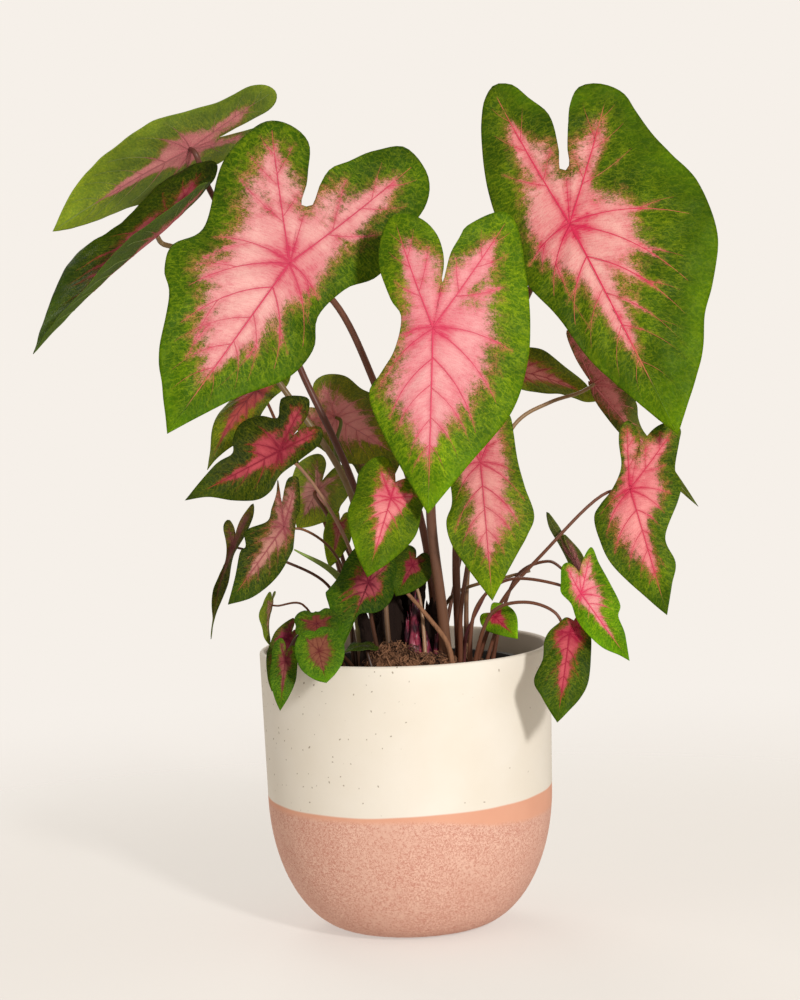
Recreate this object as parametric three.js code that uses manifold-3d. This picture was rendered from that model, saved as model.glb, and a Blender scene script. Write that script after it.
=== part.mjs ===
// A caladium standing in its black nursery pot inside a two-tone planter.
// Millimetres, +Z up. The origin is the centre of the planter's flat foot.
import * as THREE from 'three';
import { mergeVertices } from 'three/addons/utils/BufferGeometryUtils.js';
import Module from 'manifold-3d';

const wasm = await Module();
wasm.setup();

// ---- driving dimensions ----
const RIM_RADIUS = 117.5; // planter, outside, at its mouth
const PLANTER_HEIGHT = 228;
const WAIST_RADIUS = 115; // planter, outside, where its round bottom ends
const WAIST_HEIGHT = 112;
const FOOT_RADIUS = 54; // flat part that stands on the table
const WALL = 5.5;
const PLANTER_FLOOR = 8;
const PLANTER_SEGMENTS = 40;
const NURSERY_RADIUS = 94; // nursery pot, outside of its wall at the top
const NURSERY_TOP = 212;
const NURSERY_FOOT = 18.1; // height at which its foot meets the planter's round bottom
const NURSERY_FOOT_RADIUS = 73;
const NURSERY_WALL = 1.6;
const NURSERY_LIP = 3; // how far its rim stands out
const DRAIN_RADIUS = 5;
const DRAIN_CIRCLE = 45;
const DRAIN_COUNT = 6;
const SOIL_TOP = 200;
const TUBER_RADIUS = 22;
const TUBER_AT = [8, -10, 206];
const BLADE = 0.8; // thickness of a leaf blade
const GAP = 0.3; // between pieces that touch
const ROOT_DEPTH = 24; // how far a stem stands in the soil
const STEM_SIDES = 5;
const STEM_PLAY = 0.6; // between a stem and the hole it stands in

const COLOURS = {
  planter: { color: 0xf1e7d5, roughness: 0.75 },
  nursery: { color: 0x17171a, roughness: 0.5 },
  soil: { color: 0x3a2a20, roughness: 0.95 },
  tuber: { color: 0x6b4630, roughness: 0.9 },
  sheath: { color: 0xa02a50, roughness: 0.6 },
  stem: { color: 0x5d3a33, roughness: 0.5 },
  leaf: { color: 0x7d8a3c, roughness: 0.45 },
};

const root = new THREE.Group();
root.name = 'caladium';

// ---- solids and meshes ----
function toManifold(geometry) {
  const bare = geometry.clone();
  bare.deleteAttribute('normal');
  bare.deleteAttribute('uv');
  const merged = mergeVertices(bare, 1e-4);
  const solid = new wasm.Mesh({
    numProp: 3,
    vertProperties: new Float32Array(merged.attributes.position.array),
    triVerts: new Uint32Array(merged.index.array),
  });
  return new wasm.Manifold(solid);
}

function toGeometry(solid) {
  const mesh = solid.getMesh();
  const geometry = new THREE.BufferGeometry();
  geometry.setAttribute('position', new THREE.BufferAttribute(new Float32Array(mesh.vertProperties), 3));
  geometry.setIndex(new THREE.BufferAttribute(new Uint32Array(mesh.triVerts), 1));
  return geometry;
}

function add(name, geometry, slot) {
  const mesh = new THREE.Mesh(geometry, new THREE.MeshStandardMaterial(COLOURS[slot]));
  mesh.name = name;
  root.add(mesh);
}

const vec = (p) => new THREE.Vector3(...p);

// A solid of revolution about +Z from [radius, height] pairs that start and end on the axis.
function turned(profile, segments) {
  const points = profile.map(([r, z]) => new THREE.Vector2(r, z));
  return new THREE.LatheGeometry(points, segments).rotateX(Math.PI / 2);
}

// A closed tube through centres, with a radius at each of them and, for a flat one, a thickness that
// is a share of its width.
function tube(centres, radii, flat = 1) {
  const last = centres.length - 1;
  const positions = [];
  const faces = [];
  const normal = new THREE.Vector3(0, 1, 0);
  centres.forEach((centre, i) => {
    const ahead = centres[Math.min(i + 1, last)].clone().sub(centres[Math.max(i - 1, 0)]).normalize();
    normal.addScaledVector(ahead, -normal.dot(ahead)).normalize();
    const beside = new THREE.Vector3().crossVectors(ahead, normal);
    for (let k = 0; k < STEM_SIDES; k++) {
      const turn = (k / STEM_SIDES) * 2 * Math.PI;
      const out = normal.clone().multiplyScalar(Math.cos(turn) * flat).addScaledVector(beside, Math.sin(turn));
      positions.push(...centre.clone().addScaledVector(out, radii[i]));
    }
  });
  for (let i = 0; i < last; i++) {
    for (let k = 0; k < STEM_SIDES; k++) {
      const a = i * STEM_SIDES + k;
      const b = i * STEM_SIDES + ((k + 1) % STEM_SIDES);
      faces.push(a, b, b + STEM_SIDES, a, b + STEM_SIDES, a + STEM_SIDES);
    }
  }
  const end = last * STEM_SIDES;
  for (let k = 1; k < STEM_SIDES - 1; k++) {
    faces.push(0, k + 1, k, end, end + k, end + k + 1);
  }
  const geometry = new THREE.BufferGeometry();
  geometry.setAttribute('position', new THREE.Float32BufferAttribute(positions, 3));
  geometry.setIndex(faces);
  return geometry;
}

// Points on a smooth curve through knots: a given number of steps in each interval.
function pointsThrough(knots, steps) {
  const curve = new THREE.CatmullRomCurve3(knots, false, 'centripetal');
  const points = [knots[0]];
  for (let i = 1; i < knots.length; i++) {
    for (let k = 1; k <= steps[i - 1]; k++) {
      points.push(curve.getPoint((i - 1 + k / steps[i - 1]) / (knots.length - 1)));
    }
  }
  return points;
}

// The last knots of every stem: it comes down upright on its place and stands in the soil.
const stemFoot = ([x, y]) => [SOIL_TOP + 15, SOIL_TOP + 6, SOIL_TOP - ROOT_DEPTH].map((z) => vec([x, y, z]));

// ---- a leaf blade ----
// u runs from the petiole towards the tip and v across, to the right of someone who looks at the
// upper side with the tip hanging down. Both are in the plane of the leaf.
const SPOKES = { large: 30, medium: 20, small: 16 }; // points round the outline
const RINGS = { large: 3, medium: 2, small: 2 }; // rows of points from the petiole to the margin
const SOFT = 4; // mm over which a fold rounds off at the midrib
const WAVES = 5; // waves round the margin

// Half of a heart, tip first: u as a share of the front length, or of the lobe's length where it is
// negative, and v as a share of the half's width.
const HEART = [
  [0.74, 0.5],
  [0.36, 0.97],
  [0.02, 0.95],
  [-0.45, 1],
  [-0.85, 0.78],
  [-1, 0.46],
  [-0.8, 0.16],
];

// The outline of one half from the tip to the notch between the lobes, v counted outwards. A half
// with an edge of its own gives it in shares of the leaf's front length.
function sideOutline(leaf, half) {
  const { edge, wide, lobe } = leaf[half];
  const length = leaf.length;
  const margin = edge
    ? edge.map(([u, v]) => [u * length, v * length])
    : HEART.map(([u, v]) => [u < 0 ? u * lobe : u * length, v * wide]);
  const lean = half === 'left' ? -leaf.notch[1] : leaf.notch[1];
  return [[length, 0], ...margin, [-leaf.notch[0], lean]];
}

function outline(leaf, count) {
  const half = count / 2;
  const right = new THREE.SplineCurve(sideOutline(leaf, 'right').map((p) => new THREE.Vector2(...p)));
  const left = new THREE.SplineCurve(sideOutline(leaf, 'left').map(([u, v]) => new THREE.Vector2(u, -v)));
  const there = right.getSpacedPoints(half);
  const back = left.getSpacedPoints(half).reverse();
  return [...there.slice(0, half), ...back.slice(0, half)];
}

// With no turn the blade faces the front as squarely as its midrib lets it. A turn about the midrib
// carries the upper side towards the leaf's right.
function leafAxes(leaf) {
  const tip = vec(leaf.tip).sub(vec(leaf.at)).normalize();
  const level = new THREE.Vector3().crossVectors(tip, new THREE.Vector3(0, 1, 0)).normalize();
  const square = new THREE.Vector3().crossVectors(tip, level);
  const turn = THREE.MathUtils.degToRad(leaf.turn ?? 0);
  const up = square.clone().multiplyScalar(Math.cos(turn)).addScaledVector(level, Math.sin(turn));
  const side = new THREE.Vector3().crossVectors(up, tip);
  return { tip, up, side };
}

// Where a point of the flat outline plan ends up, rho of the way from the petiole to the margin.
function bladePoint(leaf, axes, edge, turn, rho) {
  const u = edge.x * rho;
  const v = edge.y * rho;
  const half = v < 0 ? leaf.left : leaf.right;
  const fold = THREE.MathUtils.degToRad(half.fold ?? 0);
  const across = Math.abs(v);
  const t = u / leaf.length;
  const arch = t > 0 ? 4 * t * (1 - t) : 2 * t;
  let lift = leaf.arch * arch;
  lift += (half.cup ?? leaf.cup ?? 0) * (across / leaf.length) ** 2 * 4;
  lift += leaf.wave * rho ** 3 * Math.sin(WAVES * turn);
  lift += (Math.hypot(across, SOFT) - SOFT) * Math.sin(fold);
  const point = vec(leaf.at).addScaledVector(axes.tip, u);
  return point.addScaledVector(axes.side, v * Math.cos(fold)).addScaledVector(axes.up, lift);
}

function bladeSheet(leaf) {
  const count = SPOKES[leaf.size];
  const rings = RINGS[leaf.size];
  const axes = leafAxes(leaf);
  const edges = outline(leaf, count);
  const points = [bladePoint(leaf, axes, edges[0], 0, 0)];
  for (let j = 1; j <= rings; j++) {
    for (let i = 0; i < count; i++) {
      points.push(bladePoint(leaf, axes, edges[i], (i / count) * 2 * Math.PI, j / rings));
    }
  }
  const faces = [];
  for (let i = 0; i < count; i++) {
    const next = (i + 1) % count;
    faces.push([0, 1 + i, 1 + next]);
    for (let j = 1; j < rings; j++) {
      const a = 1 + (j - 1) * count;
      const b = a + count;
      faces.push([a + i, b + i, b + next], [a + i, b + next, a + next]);
    }
  }
  return { points, faces, count };
}

// The sheet given its thickness: the same triangles on both faces and a narrow rim between them.
function bladeGeometry(leaf) {
  const { points, faces, count } = bladeSheet(leaf);
  const sheet = new THREE.BufferGeometry().setFromPoints(points);
  sheet.setIndex(faces.flat());
  sheet.computeVertexNormals();
  const normals = sheet.attributes.normal;
  const n = points.length;
  const positions = [];
  for (const sign of [1, -1]) {
    points.forEach((p, i) => {
      const normal = new THREE.Vector3().fromBufferAttribute(normals, i);
      positions.push(...p.clone().addScaledVector(normal, (sign * BLADE) / 2));
    });
  }
  const index = [];
  for (const [a, b, c] of faces) {
    index.push(a, b, c, a + n, c + n, b + n);
  }
  const rim = n - count;
  for (let i = 0; i < count; i++) {
    const a = rim + i;
    const b = rim + ((i + 1) % count);
    index.push(a, a + n, b + n, a, b + n, b);
  }
  const geometry = new THREE.BufferGeometry();
  geometry.setAttribute('position', new THREE.Float32BufferAttribute(positions, 3));
  geometry.setIndex(index);
  return geometry;
}

// ---- a petiole ----
// It leaves the underside of the blade square to it, runs through its hand-set points and stands
// upright in the soil. One that is fused to its blade starts inside it.
function petioleGeometry(leaf) {
  const axes = leafAxes(leaf);
  const start = vec(leaf.at).addScaledVector(axes.up, leaf.fused ? 0 : -(BLADE / 2 + GAP));
  const neck = start.clone().addScaledVector(axes.up, -(leaf.neck ?? 10));
  const knots = [start, neck, ...(leaf.via ?? []).map(vec), ...stemFoot(leaf.base)];
  const steps = knots.slice(1).map((knot, i) => (i > 0 && i < knots.length - 3 ? 2 : 1));
  const centres = pointsThrough(knots, steps);
  const thin = leaf.thin ?? 1.1;
  const thick = leaf.thick ?? 2;
  return tube(centres, centres.map((c, i) => thin + ((thick - thin) * i) / (centres.length - 1)));
}

// at is where the petiole meets the blade and tip is the leaf's tip, both [x, y, z]; base is [x, y]
// where the stem stands in the soil, and via holds the points its petiole passes on the way.
const LEAVES = [
  // ---- the three large leaves that face the front ----
  {
    name: 'leaf_01', size: 'large', at: [-80, -40, 540], tip: [-178, -95, 413],
    right: {
      edge: [[0.69, 0.16], [0.46, 0.3], [0.27, 0.32], [0.13, 0.25], [-0.06, 0.28], [-0.22, 0.37], [-0.45, 0.36],
        [-0.66, 0.36], [-0.79, 0.28], [-0.82, 0.12], [-0.7, 0.01], [-0.52, -0.07]],
      cup: -14,
    },
    left: {
      edge: [[0.84, 0.14], [0.71, 0.25], [0.47, 0.36], [0.37, 0.45], [0.24, 0.49], [0.08, 0.42], [-0.25, 0.53],
        [-0.5, 0.5], [-0.58, 0.4], [-0.56, 0.27], [-0.47, 0.16]],
      cup: -18,
    },
    notch: [52, -15], arch: 8, wave: 2.5, base: [26, 2], via: [[-47, -8, 507], [-17, 2, 440], [18, 2, 320]],
    thin: 1.6, thick: 2.7,
  },
  {
    name: 'leaf_02', size: 'large', at: [30, -100, 488], tip: [21, -130, 347],
    right: {
      edge: [[0.72, 0.22], [0.44, 0.43], [0.17, 0.51], [-0.08, 0.52], [-0.35, 0.49], [-0.59, 0.44], [-0.66, 0.35],
        [-0.57, 0.15], [-0.37, 0.07]],
      cup: -12,
    },
    left: {
      edge: [[0.92, 0.05], [0.6, 0.24], [0.37, 0.33], [0.25, 0.27], [0.12, 0.2], [-0.06, 0.17], [-0.16, 0.23],
        [-0.36, 0.3], [-0.54, 0.28], [-0.63, 0.21], [-0.6, 0.08], [-0.48, 0]],
      cup: -30,
    },
    notch: [34, 5], arch: 6, wave: 2, base: [32, -36],
    via: [[29, -78, 415], [28, -62, 335], [32, -42, 253]],
    thin: 1.6, thick: 3.1,
  },
  {
    name: 'leaf_03', size: 'large', at: [142, -20, 563], tip: [218, -80, 397],
    right: {
      edge: [[0.77, 0.22], [0.6, 0.32], [0.49, 0.41], [0.31, 0.52], [0.07, 0.55], [-0.18, 0.52], [-0.39, 0.48],
        [-0.5, 0.41], [-0.52, 0.27], [-0.42, 0.19], [-0.29, 0.125]],
      cup: -14,
    },
    left: {
      edge: [[0.8, 0.09], [0.57, 0.18], [0.34, 0.22], [0.16, 0.27], [-0.01, 0.27], [-0.17, 0.26], [-0.33, 0.23],
        [-0.5, 0.17], [-0.69, 0.06], [-0.71, -0.04], [-0.64, -0.1], [-0.53, -0.13], [-0.4, -0.13]],
      cup: -12,
    },
    notch: [42, 17], arch: 8, wave: 2.5, base: [44, -12], via: [[110, 4, 511], [75, 2, 424], [46, -12, 330]],
    thin: 1.6, thick: 2.7,
  },
  // ---- the two at the far left, one seen from behind and one edge-on ----
  {
    name: 'leaf_04', size: 'large', at: [-162, 85, 633], tip: [-275, 55, 570], turn: 210,
    right: {
      edge: [[0.7, 0.18], [0.45, 0.26], [0.16, 0.29], [-0.05, 0.24], [-0.3, 0.17], [-0.5, 0.17], [-0.62, 0.09],
        [-0.5, 0.02]],
    },
    left: { wide: 42, lobe: 62, fold: 33 },
    notch: [26, -1], arch: 5, wave: 2, base: [-12, 16],
    via: [[-147, 86, 598], [-99, 50, 517], [-78, 26, 456], [-35, 14, 351]], thin: 1.5, thick: 2.4,
  },
  {
    name: 'leaf_05', size: 'large', at: [-187, 10, 564], tip: [-286, -30, 475], turn: -50,
    right: { wide: 40, lobe: 66, fold: 38 },
    left: { wide: 60, lobe: 84, fold: -8 },
    notch: [28, 0], arch: 4, wave: 2, base: [-22, -8], via: [[-168, 8, 551], [-93, 0, 443], [-39, -6, 352]],
    neck: 8, thin: 1.5, thick: 2.4,
  },
  // ---- the middle of the left side ----
  {
    name: 'leaf_06', size: 'large', at: [-93, -60, 394], tip: [-167, -88, 360],
    right: {
      edge: [[0.8, 0.07], [0.61, 0.2], [0.4, 0.3], [0.25, 0.29], [0.1, 0.2], [-0.17, 0.16], [-0.38, 0.12],
        [-0.46, 0.02], [-0.42, -0.04], [-0.28, -0.08]],
    },
    left: {
      edge: [[0.61, 0.16], [0.42, 0.18], [0.35, 0.29], [0.2, 0.38], [0, 0.36], [-0.13, 0.27],
        [-0.215, 0.365], [-0.27, 0.41], [-0.38, 0.38], [-0.49, 0.29], [-0.4, 0.165], [-0.28, 0.105]],
    },
    notch: [12, -4.1], arch: 4, wave: 1.5, cup: -10, base: [-30, -20], via: [[-78, -40, 378], [-40, -28, 307]],
  },
  {
    name: 'leaf_07', size: 'medium', at: [-114, 40, 436], tip: [-155, 20, 374], turn: -50,
    right: { wide: 24, lobe: 32 }, left: { wide: 22, lobe: 32 },
    notch: [14, 0], arch: 4, wave: 2, cup: -6, base: [-40, 16],
    via: [[-96, 60, 400], [-68, 58, 340], [-48, 34, 270]],
  },
  {
    name: 'leaf_08', size: 'medium', at: [-50, 60, 410], tip: [5, 95, 370], turn: 180,
    right: { wide: 30, lobe: 34 }, left: { wide: 33, lobe: 38 },
    notch: [14, 0], arch: 4, wave: 2, cup: -6, base: [-20, 26], via: [[-51, 42, 384], [-38, 34, 340]],
  },
  {
    name: 'leaf_09', size: 'medium', at: [-21, 112, 380], tip: [-4, 128, 354], turn: 180,
    right: { wide: 23, lobe: 30 }, left: { wide: 24, lobe: 30 },
    notch: [10, 0], arch: 3, wave: 1.5, cup: -4, base: [-4, 32], via: [[-14, 98, 345], [-8, 60, 300]],
  },
  // ---- in front ----
  {
    name: 'leaf_10', size: 'medium', at: [-7, -108, 358], tip: [-27, -130, 300],
    right: { wide: 27, lobe: 22 }, left: { wide: 29, lobe: 32 },
    notch: [10, 0], arch: 4, wave: 1.5, cup: -8, base: [-12, -44],
    via: [[-10, -70, 330], [-14, -46, 302], [-14, -44, 262]],
  },
  {
    name: 'leaf_11', size: 'large', at: [64, -70, 380], tip: [69, -95, 274],
    right: { wide: 40, lobe: 50 }, left: { wide: 30, lobe: 48 },
    notch: [20, 0], arch: 5, wave: 2, cup: -10, base: [44, -32], via: [[54, -52, 312], [45, -38, 256]],
  },
  // ---- the right side ----
  {
    name: 'leaf_12', size: 'large', at: [181, -60, 354], tip: [205, -88, 257],
    right: {
      edge: [[0.79, 0.1], [0.64, 0.17], [0.43, 0.15], [0.19, 0.32], [0.07, 0.38], [-0.06, 0.37], [-0.26, 0.46],
        [-0.36, 0.5], [-0.43, 0.43], [-0.41, 0.31], [-0.31, 0.175]],
    },
    left: {
      edge: [[0.85, 0.1], [0.53, 0.29], [0.3, 0.33], [0.13, 0.32], [0.05, 0.25], [-0.04, 0.13], [-0.18, 0.02],
        [-0.38, -0.02], [-0.48, -0.06], [-0.52, -0.14], [-0.38, -0.183]],
    },
    notch: [21, 11], arch: 4, wave: 2, cup: -8, base: [58, -26],
    via: [[164, -48, 351], [112, -50, 305], [76, -34, 262]],
  },
  {
    name: 'leaf_13', size: 'large', at: [161, 60, 430], tip: [246, 70, 325], turn: 180,
    right: { edge: [[0.8, 0.03], [0.5, 0.06], [0.3, 0.07], [0.12, 0.06], [0.01, 0.03], [-0.03, 0.01]] },
    left: {
      edge: [[0.8, 0.03], [0.6, 0.05], [0.44, 0.05], [0.35, 0.08], [0.26, 0.14], [0.05, 0.18], [-0.2, 0.16],
        [-0.35, 0.1], [-0.2, 0.03]],
      fold: 20,
    },
    notch: [3, 0], arch: 3, wave: 1, base: [50, 22],
    via: [[150, 52, 424], [125, 48, 417], [95, 40, 400], [56, 28, 300]], neck: 5,
  },
  {
    name: 'leaf_14', size: 'medium', at: [101, 82, 441], tip: [166, 97, 413], turn: 66,
    right: { wide: 28, lobe: 34, fold: 26 }, left: { wide: 26, lobe: 34 },
    notch: [14, 0], arch: 4, wave: 2, base: [30, 36], via: [[76, 66, 390]],
  },
  {
    name: 'leaf_15', size: 'large', at: [138, -104, 278], tip: [172, -128, 228],
    right: {
      edge: [[0.72, 0.14], [0.49, 0.2], [0.38, 0.3], [0.09, 0.35], [-0.2, 0.38], [-0.42, 0.42], [-0.35, 0.26]],
    },
    left: {
      edge: [[0.87, 0.06], [0.68, 0.17], [0.43, 0.22], [0.21, 0.22], [0.02, 0.17], [-0.16, 0.19], [-0.27, 0.12],
        [-0.42, 0.01], [-0.43, -0.08], [-0.33, -0.12]],
    },
    notch: [15, 8], arch: 3, wave: 1, cup: -6, base: [51, -44],
    via: [[120, -86, 284], [80, -60, 285], [57, -48, 262]],
  },
  {
    name: 'leaf_16', size: 'medium', at: [140, -50, 290], tip: [160, -74, 233], turn: 125,
    right: {
      edge: [[0.7, 0.15], [0.4, 0.27], [0.1, 0.28], [-0.3, 0.2], [-0.65, 0.2], [-0.8, 0.12], [-0.6, 0.02]],
    },
    left: {
      edge: [[0.7, 0.15], [0.4, 0.27], [0.1, 0.28], [-0.2, 0.22], [-0.5, 0.15], [-0.62, 0.06], [-0.45, 0.01]],
    },
    notch: [14, 0], arch: 3, wave: 1.5, cup: -3, base: [70, -14], via: [[116, -32, 296], [92, -18, 284]],
  },
  {
    name: 'leaf_17', size: 'medium', at: [128, -100, 247], tip: [115, -128, 182],
    right: {
      edge: [[0.88, 0.09], [0.69, 0.21], [0.5, 0.27], [0.22, 0.26], [0, 0.24], [-0.22, 0.18], [-0.24, 0.08]],
    },
    left: {
      edge: [[0.76, 0.2], [0.59, 0.31], [0.34, 0.25], [0.14, 0.26], [0.01, 0.22], [-0.1, 0.13], [-0.18, 0.06]],
    },
    notch: [11, 2], arch: 3, wave: 1, cup: -6, base: [54, -56],
    via: [[118, -90, 262], [96, -80, 270], [70, -68, 262]],
  },
  {
    name: 'leaf_18', size: 'small', at: [72, -50, 255], tip: [89, -64, 239],
    right: { edge: [[0.71, 0.3], [0.41, 0.5], [0.06, 0.5], [-0.3, 0.33], [-0.36, 0.2]] },
    left: { edge: [[0.55, 0.26], [0.09, 0.45], [-0.18, 0.43], [-0.37, 0.31], [-0.39, 0.17]] },
    notch: [6, 0], arch: 1, wave: 0.5, base: [64, -40], neck: 6, thick: 1.6, fused: true,
  },
  // ---- low in front and at the left of the rim ----
  {
    name: 'leaf_19', size: 'large', at: [-27, -72, 289], tip: [-48, -97, 243],
    right: {
      edge: [[0.8, 0.01], [0.51, 0.04], [0.38, 0.24], [0.21, 0.36], [0, 0.39], [-0.16, 0.33], [-0.4, 0.3],
        [-0.5, 0.15], [-0.35, 0.04]],
    },
    left: {
      edge: [[0.77, 0.24], [0.56, 0.37], [0.37, 0.49], [0.28, 0.47], [0.05, 0.41], [-0.2, 0.4], [-0.46, 0.33],
        [-0.5, 0.2], [-0.35, 0.06]],
    },
    notch: [10, 0], arch: 3, wave: 1, cup: -8, base: [-20, -46],
  },
  {
    name: 'leaf_20', size: 'small', at: [8, -36, 297], tip: [-6, -54, 275],
    right: { edge: [[0.75, 0.26], [0.2, 0.52], [-0.2, 0.49], [-0.5, 0.32], [-0.5, 0.1]] },
    left: { edge: [[0.7, 0.3], [0.3, 0.5], [-0.1, 0.5], [-0.45, 0.35], [-0.5, 0.12]] },
    notch: [8, 0], arch: 2, wave: 1, base: [16, -46], via: [[13, -34, 270]], neck: 6, thick: 1.7, fused: true,
  },
  {
    name: 'leaf_21', size: 'small', at: [-66, -136, 245], tip: [-61, -147, 222],
    right: { wide: 20, lobe: 20 }, left: { wide: 18, lobe: 19 },
    notch: [12, 0], arch: 2, wave: 0.6, base: [-40, -58], via: [[-59, -112, 241], [-50, -84, 234]],
    neck: 7, thick: 1.7, fused: true,
  },
  {
    name: 'leaf_22', size: 'small', at: [-68, -104, 262], tip: [-67, -115, 246],
    right: { wide: 17, lobe: 14 }, left: { wide: 17, lobe: 14 },
    notch: [9, 0], arch: 2, wave: 0.6, base: [-48, -40], neck: 7, thick: 1.7, fused: true,
  },
  {
    name: 'leaf_23', size: 'small', at: [-104, -60, 272], tip: [-107, -62, 241], turn: -105,
    right: { wide: 14, lobe: 11, fold: 20 }, left: { wide: 14, lobe: 11, fold: 20 },
    notch: [4, 0], arch: 2, wave: 1, base: [-58, -22], via: [[-80, -46, 270]], neck: 5, thick: 1.7, fused: true,
  },
  {
    name: 'leaf_24', size: 'small', at: [-92, -82, 248], tip: [-105, -96, 209], turn: -10,
    right: { edge: [[0.7, 0.12], [0.4, 0.2], [0.1, 0.18], [-0.12, 0.16], [-0.2, 0.085]] },
    left: { edge: [[0.8, 0.13], [0.43, 0.26], [0.11, 0.27], [-0.11, 0.23], [-0.35, 0.07], [-0.4, -0.03]] },
    notch: [6, 2], arch: 2, wave: 0.5, base: [-62, -36], neck: 7, thick: 1.7, fused: true,
  },
  {
    name: 'leaf_25', size: 'medium', at: [-93, -114, 235], tip: [-98, -124, 198],
    right: { wide: 10, lobe: 13 }, left: { wide: 11, lobe: 18 },
    notch: [7, 0], arch: 2, wave: 0.6, cup: -4, base: [-50, -58], via: [[-82, -98, 252]], neck: 7,
  },
  {
    name: 'leaf_26', size: 'large', at: [-92, -60, 334], tip: [-137, -86, 277],
    right: {
      edge: [[0.79, 0.16], [0.48, 0.24], [0.18, 0.22], [0.08, 0.18], [-0.14, 0.06], [-0.26, 0.03], [-0.44, -0.1],
        [-0.52, -0.18], [-0.43, -0.25]],
    },
    left: {
      edge: [[0.74, 0.1], [0.5, 0.21], [0.41, 0.2], [0.27, 0.29], [0.06, 0.17], [-0.08, 0.21], [-0.25, 0.26],
        [-0.38, 0.33], [-0.3, 0.252]],
    },
    notch: [15, -12], arch: 3, wave: 1, cup: -6, base: [-42, -4], via: [[-77, -42, 329], [-50, -14, 299]],
  },
  {
    name: 'leaf_27', size: 'medium', at: [-136, 0, 313], tip: [-156, -10, 240], turn: -60,
    right: {
      edge: [[0.8, 0.1], [0.4, 0.17], [0.1, 0.19], [-0.15, 0.23], [-0.35, 0.21], [-0.49, 0.13], [-0.3, 0.04]],
    },
    left: {
      edge: [[0.8, 0.04], [0.4, 0.06], [0.1, 0.06], [-0.05, 0.1], [-0.2, 0.19], [-0.27, 0.16], [-0.15, 0.05]],
      fold: 45,
    },
    notch: [8, 0], arch: 3, wave: 2, base: [-52, 6], via: [[-96, 2, 300], [-58, 4, 275]],
  },
  {
    name: 'leaf_28', size: 'medium', at: [-67, 40, 353], tip: [-85, 56, 320], turn: 180,
    right: { wide: 24, lobe: 34 }, left: { wide: 24, lobe: 34 },
    notch: [10, 0], arch: 3, wave: 2, cup: -4, base: [-30, 8], via: [[-58, 28, 330]],
  },
  {
    name: 'leaf_29', size: 'small', at: [-50, 14, 326], tip: [-59, 10, 292], turn: 20,
    right: { wide: 12, lobe: 12 }, left: { wide: 12, lobe: 12 },
    notch: [4, 0], arch: 2, wave: 0.6, base: [-8, 2], neck: 6, thick: 1.7, fused: true,
  },
  {
    name: 'leaf_30', size: 'small', at: [-30, -62, 237], tip: [-48, -70, 234], turn: -70,
    right: { wide: 8, lobe: 8 }, left: { wide: 8, lobe: 8 },
    notch: [3, 0], arch: 2, wave: 0.5, base: [-26, -62], neck: 5, thick: 1.6, fused: true,
  },
];

for (const leaf of LEAVES) {
  leaf.length = vec(leaf.tip).distanceTo(vec(leaf.at));
  if (leaf.fused) {
    const whole = toManifold(bladeGeometry(leaf)).add(toManifold(petioleGeometry(leaf)));
    add(leaf.name, toGeometry(whole), 'leaf');
  } else {
    add(leaf.name + '_blade', bladeGeometry(leaf), 'leaf');
    add(leaf.name + '_petiole', petioleGeometry(leaf), 'stem');
  }
}

// ---- stems that carry no open blade ----
// Each is a spindle: its radius at the soil, in the middle and at its free end.
const SHOOTS = [
  {
    name: 'rolled_leaf', base: [-34, -13], path: [[-38, -16, 262], [-54, -36, 293], [-85, -46, 314]],
    radii: [1.6, 2.6, 0.5],
  },
  { name: 'shoot_spike', base: [46, -22], path: [[49, -26, 238], [65, -30, 269]], radii: [2.2, 2.2, 0.4] },
  {
    name: 'bare_petiole', base: [24, 14], path: [[38, 4, 265], [83, -12, 282], [102, -18, 287]],
    radii: [2, 1.6, 1.1],
  },
  { name: 'pink_sheath', base: [10, -38], path: [[9, -36, 232], [7, -30, 258]], radii: [5, 4.5, 0.6], flat: 0.25 },
];

function shootGeometry(shoot) {
  const knots = [...shoot.path.map(vec).reverse(), ...stemFoot(shoot.base)];
  const steps = knots.slice(1).map((knot, i) => (i < shoot.path.length ? 3 : 1));
  const centres = pointsThrough(knots, steps);
  const [foot, middle, end] = shoot.radii;
  const radii = centres.map((centre, i) => {
    const t = i / (centres.length - 1);
    return end * (1 - t) * (1 - t) + (4 * middle - foot - end) * t * (1 - t) + foot * t * t;
  });
  return tube(centres, radii, shoot.flat ?? 1);
}

for (const shoot of SHOOTS) {
  add(shoot.name, shootGeometry(shoot), shoot.name === 'pink_sheath' ? 'sheath' : 'stem');
}

// ---- the planter ----
// Its round bottom is a quarter ellipse from the foot to the waist, and the inside follows it.
function bowl(footRadius, footHeight, waistRadius, steps) {
  const points = [];
  for (let i = 0; i <= steps; i++) {
    const turn = (i / steps) * (Math.PI / 2);
    const r = footRadius + (waistRadius - footRadius) * Math.sin(turn);
    points.push([r, footHeight + (WAIST_HEIGHT - footHeight) * (1 - Math.cos(turn))]);
  }
  return points;
}

const planterProfile = [
  [0, 0],
  ...bowl(FOOT_RADIUS, 0, WAIST_RADIUS, 8),
  [RIM_RADIUS, PLANTER_HEIGHT - 3],
  [RIM_RADIUS - 1.2, PLANTER_HEIGHT],
  [RIM_RADIUS - WALL + 1.2, PLANTER_HEIGHT],
  [RIM_RADIUS - WALL, PLANTER_HEIGHT - 3],
  ...bowl(FOOT_RADIUS - WALL, PLANTER_FLOOR, WAIST_RADIUS - WALL, 6).reverse(),
  [0, PLANTER_FLOOR],
];
add('planter', turned(planterProfile, PLANTER_SEGMENTS), 'planter');

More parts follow.
